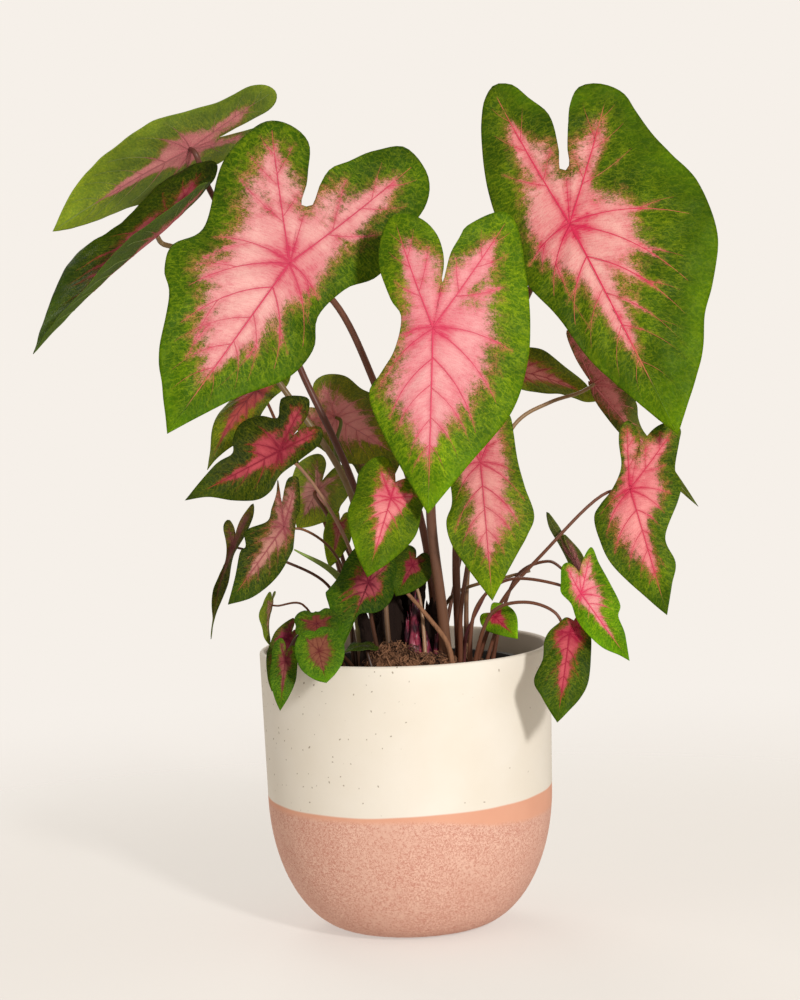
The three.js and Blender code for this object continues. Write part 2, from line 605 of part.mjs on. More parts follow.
// ---- the nursery pot ----
// A plain cone with a lip and a floor with drain holes; its foot touches the planter's round bottom.
const nurserySlope = (NURSERY_RADIUS - NURSERY_FOOT_RADIUS) / (NURSERY_TOP - NURSERY_FOOT);
const nurseryWall = (z) => NURSERY_FOOT_RADIUS + nurserySlope * (z - NURSERY_FOOT);
const nurseryFloor = NURSERY_FOOT + NURSERY_WALL;
const lipFoot = NURSERY_TOP - 5;
const nurseryProfile = [
  [0, NURSERY_FOOT],
  [NURSERY_FOOT_RADIUS, NURSERY_FOOT],
  [nurseryWall(lipFoot), lipFoot],
  [NURSERY_RADIUS + NURSERY_LIP, lipFoot],
  [NURSERY_RADIUS + NURSERY_LIP, NURSERY_TOP],
  [NURSERY_RADIUS - NURSERY_WALL, NURSERY_TOP],
  [nurseryWall(nurseryFloor) - NURSERY_WALL, nurseryFloor],
  [0, nurseryFloor],
];
let nursery = toManifold(turned(nurseryProfile, PLANTER_SEGMENTS));
for (let i = 0; i < DRAIN_COUNT; i++) {
  const turn = (i / DRAIN_COUNT) * 2 * Math.PI;
  const drain = wasm.Manifold.cylinder(4 * NURSERY_WALL, DRAIN_RADIUS, DRAIN_RADIUS, 12);
  const at = [DRAIN_CIRCLE * Math.cos(turn), DRAIN_CIRCLE * Math.sin(turn), NURSERY_FOOT - NURSERY_WALL];
  nursery = nursery.subtract(drain.translate(at));
}
add('nursery_pot', toGeometry(nursery), 'nursery');

// ---- tuber and soil ----
// Unevenness of the ground at a place, a few mm either way.
const lumps = (x, y) =>
  1.3 * Math.sin(0.11 * x + 0.7) * Math.cos(0.13 * y) + 0.8 * Math.sin(0.23 * x - 0.19 * y);

function tuberGeometry(extra) {
  const ball = new THREE.IcosahedronGeometry(1, 2);
  const place = ball.attributes.position;
  for (let i = 0; i < place.count; i++) {
    const p = new THREE.Vector3().fromBufferAttribute(place, i);
    const r = TUBER_RADIUS * (1 + 0.06 * Math.sin(5 * p.x + 2) * Math.cos(4 * p.y)) + extra;
    place.setXYZ(i, TUBER_AT[0] + p.x * r, TUBER_AT[1] + p.y * r, TUBER_AT[2] + p.z * r * 0.9);
  }
  return ball;
}

// Rings from the middle of the top outwards, then down the wall of the nursery pot to its floor.
function soilGeometry() {
  const spokes = PLANTER_SEGMENTS / 2;
  const rings = 4;
  const edge = nurseryWall(SOIL_TOP) - NURSERY_WALL - GAP;
  const foot = nurseryWall(nurseryFloor) - NURSERY_WALL - GAP;
  const points = [[0, 0, SOIL_TOP + lumps(0, 0)]];
  for (let j = 1; j <= rings; j++) {
    for (let i = 0; i < spokes; i++) {
      const turn = (i / spokes) * 2 * Math.PI;
      const x = ((edge * j) / rings) * Math.cos(turn);
      const y = ((edge * j) / rings) * Math.sin(turn);
      points.push([x, y, SOIL_TOP + (j < rings ? lumps(x, y) : 0)]);
    }
  }
  for (let i = 0; i < spokes; i++) {
    const turn = (i / spokes) * 2 * Math.PI;
    points.push([foot * Math.cos(turn), foot * Math.sin(turn), nurseryFloor + GAP]);
  }
  points.push([0, 0, nurseryFloor + GAP]);
  const faces = [];
  for (let i = 0; i < spokes; i++) {
    const next = (i + 1) % spokes;
    faces.push(0, 1 + i, 1 + next);
    for (let j = 0; j < rings; j++) {
      const a = 1 + j * spokes;
      faces.push(a + i, a + spokes + i, a + spokes + next, a + i, a + spokes + next, a + next);
    }
    faces.push(1 + rings * spokes + i, points.length - 1, 1 + rings * spokes + next);
  }
  const geometry = new THREE.BufferGeometry();
  geometry.setAttribute('position', new THREE.Float32BufferAttribute(points.flat(), 3));
  geometry.setIndex(faces);
  return geometry;
}

// The holes the stems stand in, each a little wider than its stem.
function stemHole([x, y], radius) {
  const hole = wasm.Manifold.cylinder(2 * ROOT_DEPTH, radius + STEM_PLAY, radius + STEM_PLAY, 10);
  return hole.translate([x, y, SOIL_TOP - ROOT_DEPTH - GAP]);
}

let tuber = toManifold(tuberGeometry(0));
let soil = toManifold(soilGeometry()).subtract(toManifold(tuberGeometry(1.3 * GAP)));
for (const leaf of LEAVES) {
  const hole = stemHole(leaf.base, leaf.thick ?? 2);
  tuber = tuber.subtract(hole);
  soil = soil.subtract(hole);
}
for (const shoot of SHOOTS) {
  const hole = stemHole(shoot.base, Math.max(...shoot.radii));
  tuber = tuber.subtract(hole);
  soil = soil.subtract(hole);
}
add('tuber', toGeometry(tuber), 'tuber');
add('potting_soil', toGeometry(soil), 'soil');

export default root;
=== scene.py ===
"""A caladium in a black nursery pot that stands inside a two-tone planter."""
import math
import random

import bpy
import numpy as np
from mathutils import Matrix, Vector, noise
from mathutils.bvhtree import BVHTree


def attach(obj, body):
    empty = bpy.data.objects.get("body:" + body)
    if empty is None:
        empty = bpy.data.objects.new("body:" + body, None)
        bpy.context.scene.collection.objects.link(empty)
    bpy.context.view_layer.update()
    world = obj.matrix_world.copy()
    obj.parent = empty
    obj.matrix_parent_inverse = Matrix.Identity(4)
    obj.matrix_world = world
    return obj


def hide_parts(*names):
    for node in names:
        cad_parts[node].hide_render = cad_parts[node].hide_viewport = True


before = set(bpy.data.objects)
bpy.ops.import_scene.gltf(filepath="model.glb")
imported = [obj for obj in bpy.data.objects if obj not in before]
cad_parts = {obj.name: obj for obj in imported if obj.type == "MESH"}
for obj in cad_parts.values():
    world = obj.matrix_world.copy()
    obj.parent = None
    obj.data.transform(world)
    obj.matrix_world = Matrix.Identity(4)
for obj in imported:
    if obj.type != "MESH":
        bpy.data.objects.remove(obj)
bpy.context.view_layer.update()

# ---- camera ----
# A long lens a little above the leaves, looking slightly down, rolled by two degrees.
camera = bpy.data.objects.new("camera", bpy.data.cameras.new("camera"))
bpy.context.scene.collection.objects.link(camera)
bpy.context.scene.camera = camera
camera.data.sensor_fit = "VERTICAL"
camera.data.sensor_height = 36
camera.data.lens = 118.8
camera.data.clip_end = 30
LOOKS_DOWN, ROLL = math.radians(5.54), math.radians(-2)
CAMERA_AT = (0, -2.64, 0.602)
aim = Matrix.Rotation(math.pi / 2 - LOOKS_DOWN, 4, "X") @ Matrix.Rotation(ROLL, 4, "Z")
camera.matrix_world = Matrix.Translation(CAMERA_AT) @ aim

# ---- room ----
# A pale floor that fades out round the pot, a warm white surround and soft studio lights: the key
# comes from the front right and above, a weaker one fills from the left.


class Field:
    """The output of a shader node. Arithmetic on it adds Math nodes."""

    def __init__(self, tree, socket=None):
        self.tree = tree
        self.socket = socket

    def node(self, kind, settings=(), inputs=(), out=0):
        made = self.tree.nodes.new("ShaderNode" + kind)
        for name, value in dict(settings).items():
            setattr(made, name, value)
        for name, value in dict(inputs).items():
            if isinstance(value, Field):
                self.tree.links.new(value.socket, made.inputs[name])
            else:
                made.inputs[name].default_value = value
        return Field(self.tree, made.outputs[out])

    def maths(self, operation, *values):
        return self.node("Math", {"operation": operation}, dict(enumerate(values)))

    def __add__(self, other):
        return self.maths("ADD", self, other)

    def __sub__(self, other):
        return self.maths("SUBTRACT", self, other)

    def __mul__(self, other):
        return self.maths("MULTIPLY", self, other)

    def __rsub__(self, other):
        return self.maths("SUBTRACT", other, self)

    __radd__ = __add__
    __rmul__ = __mul__

    def step(self, low, high):
        """0 at low and 1 at high, with an eased rise; low may be the larger."""
        limits = {"Value": self, "From Min": low, "From Max": high}
        return self.node("MapRange", {"interpolation_type": "SMOOTHSTEP"}, limits)

    def stored(self, name, out=2):
        """What is kept at the points of the mesh under a name: a number, or a vector where out is 1."""
        return self.node("Attribute", {"attribute_name": name}, out=out)

    def place(self):
        """Where a point is on its piece, in metres."""
        return self.node("TexCoord", out=3)

    def at(self, kind, settings=(), inputs=(), out=0):
        """A texture looked up at this vector."""
        return self.node(kind, settings, {**dict(inputs), "Vector": self}, out)

    def noise(self, scale, detail=2.0, rough=0.5, distortion=0.0):
        """Centred on 0, about half a unit either way."""
        sizes = {"Scale": scale, "Detail": detail, "Roughness": rough, "Distortion": distortion}
        return self.at("TexNoise", (), sizes) - 0.5

    def scaled(self, x, y, z):
        return self.node("VectorMath", {"operation": "MULTIPLY"}, {0: self, 1: (x, y, z)})

    def shifted(self, other):
        return self.node("VectorMath", {"operation": "ADD"}, {0: self, 1: other})

    def blend(self, low, high):
        """The colour low where this is 0, and high where it is 1."""
        return self.node("Mix", {"data_type": "RGBA"}, {0: self, 6: low, 7: high}, out=2)


def skin(name, **constants):
    """A new material: its Principled shader with the given constants, and a Field to build on."""
    material = bpy.data.materials.new(name)
    material.use_nodes = True
    shader = material.node_tree.nodes["Principled BSDF"]
    for key, value in constants.items():
        shader.inputs[key.replace("_", " ")].default_value = value
    return material, shader, Field(material.node_tree)


def feed(shader, socket, field):
    field.tree.links.new(field.socket, shader.inputs[socket])


def emboss(shader, relief, strength, distance):
    """Raises the skin where the relief is high."""
    sizes = {"Strength": strength, "Distance": distance, "Height": relief}
    feed(shader, "Normal", relief.node("Bump", (), sizes))


def colour(r, g, b):
    """A screen colour, 0 to 255, as the linear colour that a shader wants."""
    linear = [(c / 255 / 12.92 if c < 11 else ((c / 255 + 0.055) / 1.055) ** 2.4) for c in (r, g, b)]
    return (*linear, 1.0)


bpy.context.scene.view_settings.view_transform = "Standard"
world = bpy.data.worlds.new("room")
bpy.context.scene.world = world
world.use_nodes = True
air = Field(world.node_tree)
backdrop = world.node_tree.nodes["Background"]
seen = air.node("LightPath")
wall_colour = colour(246, 240, 233)
feed(backdrop, "Color", seen.blend(colour(255, 245, 232), wall_colour))
feed(backdrop, "Strength", seen * 0.52 + 0.48)

FLOOR_RADIUS, FLOOR_HEIGHT, FLOOR_SIDES = 1.3, -0.0004, 96
floor_mesh = bpy.data.meshes.new("floor")
floor_points = []
for i in range(FLOOR_SIDES):
    turn = 2 * math.pi * i / FLOOR_SIDES
    floor_points.append((FLOOR_RADIUS * math.cos(turn), FLOOR_RADIUS * math.sin(turn), FLOOR_HEIGHT))
floor_mesh.from_pydata(floor_points, [], [range(FLOOR_SIDES)])
floor = bpy.data.objects.new("floor", floor_mesh)
bpy.context.scene.collection.objects.link(floor)
floor_skin, floor_shader, paint = skin("floor", Roughness=0.9)
place = paint.place()
clouded = place.noise(3).step(-0.5, 0.5)
feed(floor_shader, "Base Color", clouded.blend(colour(249, 245, 240), colour(252, 249, 245)))
away = place.node("VectorMath", {"operation": "LENGTH"}, {0: place}, out=1)
feed(floor_shader, "Alpha", away.step(1.25, 0.35) * 0.5)
floor_mesh.materials.append(floor_skin)


def area_light(name, place, aim, size, power, tint):
    """A square lamp, size metres wide, that shines at a place."""
    lamp = bpy.data.lights.new(name, "AREA")
    lamp.size = size
    lamp.energy = power
    lamp.color = tint
    holder = bpy.data.objects.new(name, lamp)
    bpy.context.scene.collection.objects.link(holder)
    holder.location = place
    holder.rotation_euler = (Vector(aim) - Vector(place)).to_track_quat("-Z", "Y").to_euler()


area_light("key", (1.02, -2.55, 1.2), (0, 0, 0.35), 0.26, 53, (1, 0.975, 0.95))
area_light("fill", (-1.9, -1.6, 0.9), (0, 0, 0.4), 1.6, 2.5, (1, 0.96, 0.92))
area_light("back", (-0.6, 1.8, 1.7), (0, 0, 0.45), 1.2, 14, (1, 0.98, 0.95))


# ---- planter ----
# Cast ware with a round bottom and a flat foot: bare cream above with a few dark specks, dipped in a
# pink slip below that is full of short rust-coloured flecks. Its lip is rounded over by hand.
class Shape:
    """Points, faces and values at the points that become one mesh."""

    def __init__(self):
        self.points = []
        self.faces = []
        self.skins = []
        self.values = []

    def add(self, points, faces, skin_index=0, **values):
        first = sum(len(p) for p in self.points)
        self.points.append(np.asarray(points, float))
        self.faces += [tuple(first + k for k in face) for face in faces]
        self.skins += [skin_index] * len(faces)
        self.values.append(values)

    def build(self, name, materials):
        """The finished piece, with its materials and with each value as an attribute."""
        mesh = bpy.data.meshes.new(name)
        mesh.from_pydata(np.concatenate(self.points).tolist(), [], self.faces)
        for material in materials:
            mesh.materials.append(material)
        mesh.polygons.foreach_set("material_index", self.skins)
        mesh.polygons.foreach_set("use_smooth", [True] * len(self.faces))
        for key in sorted({key for values in self.values for key in values}):
            parts = []
            for points, values in zip(self.points, self.values):
                part = np.asarray(values.get(key, 0.0), float)
                parts.append(np.broadcast_to(part, (len(points), *part.shape[1:])))
            whole = np.concatenate(parts)
            kind, field = ("FLOAT", "value") if whole.ndim == 1 else ("FLOAT_VECTOR", "vector")
            mesh.attributes.new(key, kind, "POINT")
            mesh.attributes[key].data.foreach_set(field, whole.ravel())
        mesh.update()
        piece = bpy.data.objects.new(name, mesh)
        bpy.context.scene.collection.objects.link(piece)
        return piece


def place_piece(piece, slot, *nodes):
    """Puts a piece on the body in place of the nodes that it replaces, which it hides; slot is not used."""
    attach(piece, "root")
    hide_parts(*nodes)


def rings(sections):
    """Points and faces of a skin drawn over rings of points; the first and last ring are capped."""
    rows, count = len(sections), len(sections[0])
    faces = []
    for j in range(rows - 1):
        for i in range(count):
            a, b = j * count + i, j * count + (i + 1) % count
            faces.append((a, b, b + count, a + count))
    faces.append(tuple(reversed(range(count))))
    faces.append(tuple((rows - 1) * count + i for i in range(count)))
    return np.concatenate(sections), faces


def circle(sides):
    """The directions of the points of a ring."""
    return np.arange(sides) * 2 * math.pi / sides


def level_ring(radius, height, sides):
    """A ring of points round the Z axis, from sizes in mm."""
    turns = circle(sides)
    return np.stack([radius * np.cos(turns), radius * np.sin(turns), np.full(sides, height)], 1) / 1000


FOOT_RADIUS, WAIST_RADIUS, RIM_RADIUS = 49, 115, 117.5
WAIST_HEIGHT, PLANTER_HEIGHT, PLANTER_FLOOR, WALL = 112, 228, 8, 5.5
LIP_HEIGHT, SIDE_HEIGHT, AXIS_RADIUS, PLANTER_SIDES = 2.4, 113, 0.5, 144


def bowl(foot_radius, foot_height, waist_radius, steps):
    """The round bottom: a quarter of an ellipse from the foot up to the waist."""
    turns = [math.pi / 2 * i / steps for i in range(steps + 1)]
    reach = waist_radius - foot_radius
    rise = WAIST_HEIGHT - foot_height
    return [(foot_radius + reach * math.sin(t), foot_height + rise * (1 - math.cos(t))) for t in turns]


lip = []
for i in range(9):
    turn = math.pi * i / 8
    radius = RIM_RADIUS - WALL / 2 + WALL / 2 * math.cos(turn)
    lip.append((radius, PLANTER_HEIGHT - LIP_HEIGHT + LIP_HEIGHT * math.sin(turn)))
side = []
for k in range(1, 8):
    side.append((WAIST_RADIUS + (RIM_RADIUS - WAIST_RADIUS) * k / 8, WAIST_HEIGHT + SIDE_HEIGHT * k / 8))
profile = [(AXIS_RADIUS, 0), (30, 0), (FOOT_RADIUS - 3, 0), *bowl(FOOT_RADIUS, 0.4, WAIST_RADIUS, 36)]
profile += [*side, *lip, *[(radius - WALL, height) for radius, height in reversed(side)]]
profile += reversed(bowl(FOOT_RADIUS - WALL, PLANTER_FLOOR, WAIST_RADIUS - WALL, 24))
profile += [(AXIS_RADIUS, PLANTER_FLOOR)]
within = np.arange(len(profile)) > profile.index(lip[4])
shape = Shape()
sections = [level_ring(radius, height, PLANTER_SIDES) for radius, height in profile]
shape.add(*rings(sections), inside=np.repeat(within, PLANTER_SIDES))

glaze, shader, paint = skin("planter_ware", Roughness=0.62, Specular_IOR_Level=0.35)
place = paint.place()
across, depth, height = (place.node("SeparateXYZ", (), {"Vector": place}, out=k) for k in range(3))
dip_line = across * 0.014 + depth * 0.027 + place.noise(9) * 0.005 + 0.1126
below = dip_line - height
dipped = below.step(-0.0008, 0.0008)
cream = place.noise(14, 4).step(-0.3, 0.3).blend(colour(237, 229, 214), colour(244, 238, 227))
strewn = place.shifted(place.at("TexNoise", {}, {"Scale": 60}, out=1).scaled(0.012, 0.012, 0.012))
speck_cell, speck_pick = (strewn.at("TexVoronoi", (), {"Scale": 230}, out=k) for k in range(2))
speck_red = speck_pick.node("SeparateColor", (), {"Color": speck_pick}, out=0)
speckled = (across * -4 + place.noise(20, 3)).step(-0.1, 0.35) * 0.3
speck = speck_cell.step(0.22, 0.1) * (speck_red + speckled).step(0.95, 0.99)
cream = (speck * 0.75).blend(cream, colour(132, 116, 92))
salmon = place.noise(30, 5).step(-0.3, 0.3).blend(colour(228, 166, 138), colour(234, 174, 146))
bare = place.noise(24, 5).step(-0.3, 0.3).blend(colour(230, 184, 164), colour(240, 198, 178))
wave = place.noise(520, 2, 0.6, 0.8)
thread = wave.maths("ABSOLUTE", wave).step(0.085, 0.015)
dash = thread * (place.noise(360, 1) + place.noise(22, 3) * 0.9 + 0.1).step(-0.28, 0.14)
flecked = (dash * 0.85).blend(bare, colour(202, 132, 114))
plain = below - across.step(-0.02, 0.115) * 0.014 + place.noise(40, 4) * 0.005
slip = plain.step(0.001, 0.007).blend(salmon, flecked)
feed(shader, "Base Color", paint.stored("inside").blend(dipped.blend(cream, slip), colour(206, 196, 180)))
feed(shader, "Roughness", dipped * 0.1 + 0.55 + place.noise(80) * 0.1)
emboss(shader, place.noise(700, 3) * 0.5 + place.noise(60, 2), 0.12, 0.0006)
place_piece(shape.build("planter_shell", [glaze]), "planter", "planter")

# ---- nursery pot ----
# Thin black blow-moulded plastic, slightly glossy, with a rolled rim; the CAD solid has its form.
plastic, shader, paint = skin("black_plastic", Specular_IOR_Level=0.5)
place = paint.place()
feed(shader, "Base Color", place.noise(60, 4).step(-0.2, 0.4).blend(colour(20, 20, 21), colour(44, 42, 40)))
feed(shader, "Roughness", place.noise(40, 3) * 0.3 + 0.42)
emboss(shader, place.noise(300, 2), 0.1, 0.0005)
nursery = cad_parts["nursery_pot"]
nursery.data.materials.clear()
nursery.data.materials.append(plastic)

# ---- potting soil ----
# A dark mix, uneven on top, with crumbs of bark and a few white grains of perlite pressed into it.
random.seed(7)
SOIL_TOP, SOIL_RADIUS, SOIL_FOOT_RADIUS, SOIL_FLOOR = 200, 90.7, 71, 20
SOIL_SIDES, SOIL_RINGS, CRUMBS = 120, 44, 520


def ground(x, y):
    """Height of the soil at a place, in mm."""
    soft = 1.3 * math.sin(0.11 * x + 0.7) * math.cos(0.13 * y) + 0.8 * math.sin(0.23 * x - 0.19 * y)
    rough = noise.fractal((x / 9, y / 9, 3.1), 1.0, 2.0, 4)
    return SOIL_TOP + soft + 1.6 * rough


shape = Shape()
turns = circle(SOIL_SIDES)
sections = []
for k in range(1, SOIL_RINGS + 1):
    radius = SOIL_RADIUS * k / SOIL_RINGS
    xs, ys = radius * np.cos(turns), radius * np.sin(turns)
    sections.append(np.array([(x, y, ground(x, y)) for x, y in zip(xs, ys)]) / 1000)
sections.append(level_ring(SOIL_RADIUS, SOIL_TOP - 4, SOIL_SIDES))
sections.append(level_ring(SOIL_FOOT_RADIUS, SOIL_FLOOR, SOIL_SIDES))
shape.add(*rings(sections))


def pebble(place, size, squash):
    """A rough lump with 12 corners."""
    golden = (1 + math.sqrt(5)) / 2
    corners = [(a, b * golden, 0) for a in (-1, 1) for b in (-1, 1)]
    corners = corners + [(0, a, b) for a, b, _ in corners] + [(b, 0, a) for a, b, _ in corners]
    turn = Matrix.Rotation(random.uniform(0, 6.3), 3, "Z") @ Matrix.Rotation(random.uniform(0, 3), 3, "X")
    points = []
    for corner in corners:
        p = turn @ (Vector(corner) * size * random.uniform(0.4, 0.62))
        points.append((place[0] + p.x, place[1] + p.y, place[2] + p.z * squash))
    return np.array(points) / 1000


PEBBLE_FACES = [
    (0, 8, 4), (0, 4, 6), (0, 6, 9), (0, 9, 2), (0, 2, 8),
    (3, 10, 5), (3, 5, 7), (3, 7, 11), (3, 11, 1), (3, 1, 10),
]
for k in range(CRUMBS):
    reach, turn = SOIL_RADIUS * math.sqrt(random.random()) * 0.97, random.uniform(0, 2 * math.pi)
    x, y = reach * math.cos(turn), reach * math.sin(turn)
    size = random.choice((0.9, 1.3, 1.7, 2.6))
    pale = 1.0 if k % 13 == 0 else 0.0
    points = pebble((x, y, ground(x, y) + 0.2 * size), size, 0.6)
    shape.add(points, PEBBLE_FACES, pale=pale, shade=random.random())

earth, shader, paint = skin("potting_mix", Roughness=0.95, Specular_IOR_Level=0.2)
place = paint.place()
mixed = (place.noise(260, 5, 0.7) + paint.stored("shade") * 0.25).step(-0.25, 0.4)
dirt = mixed.blend(colour(26, 18, 13), colour(84, 58, 40))
fibre = place.scaled(1, 0.25, 1).noise(900, 3).step(0.12, 0.2)
dirt = (fibre * 0.5).blend(dirt, colour(128, 92, 62))
feed(shader, "Base Color", paint.stored("pale").blend(dirt, colour(214, 206, 192)))
emboss(shader, place.noise(420, 5, 0.75), 0.9, 0.0025)
place_piece(shape.build("soil_top", [earth]), "soil", "potting_soil")


# ---- tuber and roots ----
# The brown crown that the stems come out of: the tuber, humps of matted dead fibre in front of it and
# thin roots over the soil. The dry bases of old leaves stand round the stems, with one old stalk; the
# ones in the middle are near black, as painted shade.
def bent(start, end, leave, arrive, t):
    """A point of the cubic that leaves the start and arrives at the end with the given slopes."""
    bend = (2 * start - 2 * end + leave + arrive) * t**3 + (3 * end - 3 * start - 2 * leave - arrive) * t**2
    return bend + leave * t + start


def centripetal(knots, steps):
    """Points on a centripetal Catmull-Rom curve through knots, with a number of steps to each span."""
    knots = np.asarray(knots, float)
    knots = np.concatenate([[2 * knots[0] - knots[1]], knots, [2 * knots[-1] - knots[-2]]])
    points = [knots[1]]
    for k in range(1, len(knots) - 2):
        before, start, end, after = span = knots[k - 1 : k + 3]
        first, middle, last = np.sqrt(np.maximum(np.linalg.norm(np.diff(span, axis=0), axis=1), 1e-6))
        leave = (start - before) / first - (end - before) / (first + middle) + (end - start) / middle
        arrive = (end - start) / middle - (after - start) / (middle + last) + (after - end) / last
        for i in range(1, steps + 1):
            points.append(bent(start, end, leave * middle, arrive * middle, i / steps))
    return np.array(points)


def tube(centres, radii, sides):
    """Points and faces of a closed tube, from sizes in mm."""
    centres = np.asarray(centres, float)
    ahead = np.gradient(centres, axis=0)
    ahead /= np.linalg.norm(ahead, axis=1)[:, None]
    normal = np.array([0.0, 1.0, 0.0])
    turns = circle(sides)
    sections = []
    for centre, direction, radius in zip(centres, ahead, radii):
        normal = normal - direction * (normal @ direction)
        normal /= np.linalg.norm(normal)
        beside = np.cross(direction, normal)
        out = np.outer(np.cos(turns), normal) + np.outer(np.sin(turns), beside)
        sections.append((centre + out * radius) / 1000)
    return rings(sections)


def hair(shape, knots, thick, shade):
    """A thin fibre through knots that ends in a point."""
    centres = centripetal(knots, 4)
    shape.add(*tube(centres, np.linspace(thick, 0.1, len(centres)), 5), shade=shade)


def outward(turn, tilt):
    """The direction at a turn round the Z axis and a tilt away from it."""
    return Vector((math.sin(tilt) * math.cos(turn), math.sin(tilt) * math.sin(turn), math.cos(tilt)))


TUBER_AT = (8, -10, 206)
TUBER_RADIUS, TUBER_TOP, HUMP_SIDES, HUMP_STEPS, FIBRES, ROOTS = 22, 18, 48, 24, 420, 150
random.seed(11)
shape = Shape()
# The tuber itself, and the humps of matted fibre in front of it: the middle and the three half axes.
HUMPS = [
    (TUBER_AT, (TUBER_RADIUS, TUBER_RADIUS, 20)),
    ((-8, -43, 206), (26, 15, 27)),
    ((22, -45, 205), (20, 13, 20)),
]
for middle, half_axes in HUMPS:
    sections = []
    for j in range(1, HUMP_STEPS):
        section = []
        for turn in circle(HUMP_SIDES):
            direction = outward(turn, math.pi * j / HUMP_STEPS)
            rough = 1 + 0.06 * math.sin(5 * direction.x + 2) * math.cos(4 * direction.y)
            rough += 0.12 * noise.fractal(direction * 4 + Vector(middle), 1.0, 2.0, 5)
            section.append([middle[k] + direction[k] * half_axes[k] * rough for k in range(3)])
        sections.append(np.array(section) / 1000)
    shape.add(*rings(sections), shade=0.5)
for k in range(FIBRES):
    middle, half_axes = HUMPS[1 + k % 2]
    turn, tilt = random.uniform(-2.9, -0.2), random.uniform(0.2, 1.35)
    knots = []
    for step in range(4):
        out, lift = outward(turn, tilt), 1.02 + random.uniform(0, 0.22)
        knots.append([middle[i] + out[i] * half_axes[i] * lift for i in range(3)])
        turn += random.uniform(-0.35, 0.35)
        tilt += random.uniform(-0.25, 0.3)
    hair(shape, knots, random.uniform(0.15, 0.5), random.uniform(-1.2, 1.8))
for k in range(ROOTS):
    turn = random.uniform(0, 2 * math.pi)
    out, reach = random.uniform(6, 20), random.uniform(10, 34)
    start = (TUBER_AT[0] + out * math.cos(turn), TUBER_AT[1] + out * math.sin(turn))
    bend = turn + random.uniform(-0.9, 0.9)
    top = TUBER_AT[2] + TUBER_TOP * math.sqrt(1 - (out / TUBER_RADIUS) ** 2)
    knots = [(*start, top + random.uniform(-3, 3))]
    for step in (0.4, 0.75, 1):
        x, y = start[0] + reach * step * math.cos(bend), start[1] + reach * step * math.sin(bend)
        lift = max(0, 12 * (1 - math.hypot(x - TUBER_AT[0], y - TUBER_AT[1]) / 27))
        knots.append((x, y, ground(x, y) + lift + random.uniform(0.2, 2.2)))
        bend += random.uniform(-0.5, 0.5)
    hair(shape, knots, random.uniform(0.25, 0.75), random.random())


SCALE_ROWS, SCALE_COLUMNS, SCALE_THICKNESS = 26, 17, 0.4


def scale_leaf(shape, x, y, tall, wide, facing, shade, wrap=1.9, taper=0.45, crumple=0.34):
    """A thin dry scale that wraps a stem: creased along its length, with a torn top."""
    rows, cols = SCALE_ROWS, SCALE_COLUMNS
    outer, inner = [], []
    for j in range(rows):
        t = j / (rows - 1)
        spread = wide * (1 - taper * t * t) * (1 + 0.16 * math.sin(7 * t + facing))
        for i in range(cols):
            s = i / (cols - 1) * 2 - 1
            turn = facing - math.pi / 2 + s * wrap
            crease = 0.1 * math.sin(19 * s + 3 * t + facing) + crumple * noise.noise((s * 4, t * 9, facing))
            radius = spread * (1 + crease)
            drift = 0.06 * tall * t * t * math.sin(facing * 3)
            px, py = x + drift + radius * math.cos(turn), y + 1.4 * t + radius * math.sin(turn)
            torn = 1 - 0.35 * s * s - 0.3 * abs(noise.noise((s * 3, facing, 2)))
            pz = SOIL_TOP + tall * t * (1 + (torn - 1) * t)
            outer.append((px, py, pz))
            inner.append((px - SCALE_THICKNESS * math.cos(turn), py - SCALE_THICKNESS * math.sin(turn), pz))
    faces = []
    for j in range(rows - 1):
        for i in range(cols - 1):
            a = j * cols + i
            faces.append((a, a + 1, a + cols + 1, a + cols))
            b = rows * cols + a
            faces.append((b, b + cols, b + cols + 1, b + 1))
    rim = [*range(cols)] + [j * cols + cols - 1 for j in range(1, rows)]
    rim += [(rows - 1) * cols + i for i in range(cols - 2, -1, -1)]
    rim += [j * cols for j in range(rows - 2, 0, -1)]
    for a, b in zip(rim, rim[1:] + rim[:1]):
        faces.append((a, a + rows * cols, b + rows * cols, b))
    along = np.tile(np.repeat(np.linspace(0, 1, rows), cols), 2)
    shape.add(np.array(outer + inner) / 1000, faces, along=along, shade=shade + random.uniform(-0.4, 0.4))


# Old leaf bases round the stems, and the dark ones in the middle that make a short trunk, their
# near-black being painted shade: place, height, radius and the side they face.
OLD_BASES = [
    (-16, -36, 44, 6.5, 0.2), (-26, -30, 40, 6, 1.1), (32, -38, 30, 6.5, 0.1), (41, -30, 28, 6, -0.5),
    (46, -14, 34, 6, 0.4), (54, -24, 26, 5, -0.6), (-34, -20, 32, 5.5, 0.6), (60, -34, 22, 4.5, 0.2),
    (-42, -34, 24, 4.5, -0.4), (20, 4, 46, 7, 2.8), (-10, 14, 44, 7, 3.4), (-30, 8, 36, 6, 4.2),
]
TRUNK_IN_PAINTED_SHADE = [
    (-15, -25, 98, 9, 0.2), (-4, -20, 104, 9, -0.5), (8, -14, 98, 8.5, 0.9), (-21, -15, 86, 8, 2.0),
    (0, -5, 100, 9, 3.3), (18, -22, 74, 7, 0.4), (-28, -22, 66, 7, -0.3),
]
for base in OLD_BASES:
    scale_leaf(shape, *base, -0.2)
# These are near black as painted shade, for the dark middle of the crown.
for base in TRUNK_IN_PAINTED_SHADE:
    scale_leaf(shape, *base, -1.6, 2.1, 0.2)

# A dry old stalk that leans across the crown.
centres = centripetal([(1, -48, 279), (19, -50, 257), (34, -50, 234), (38, -49, 204)], 8)
shape.add(*tube(centres, np.linspace(1.5, 2.4, len(centres)), 10), shade=0.7)

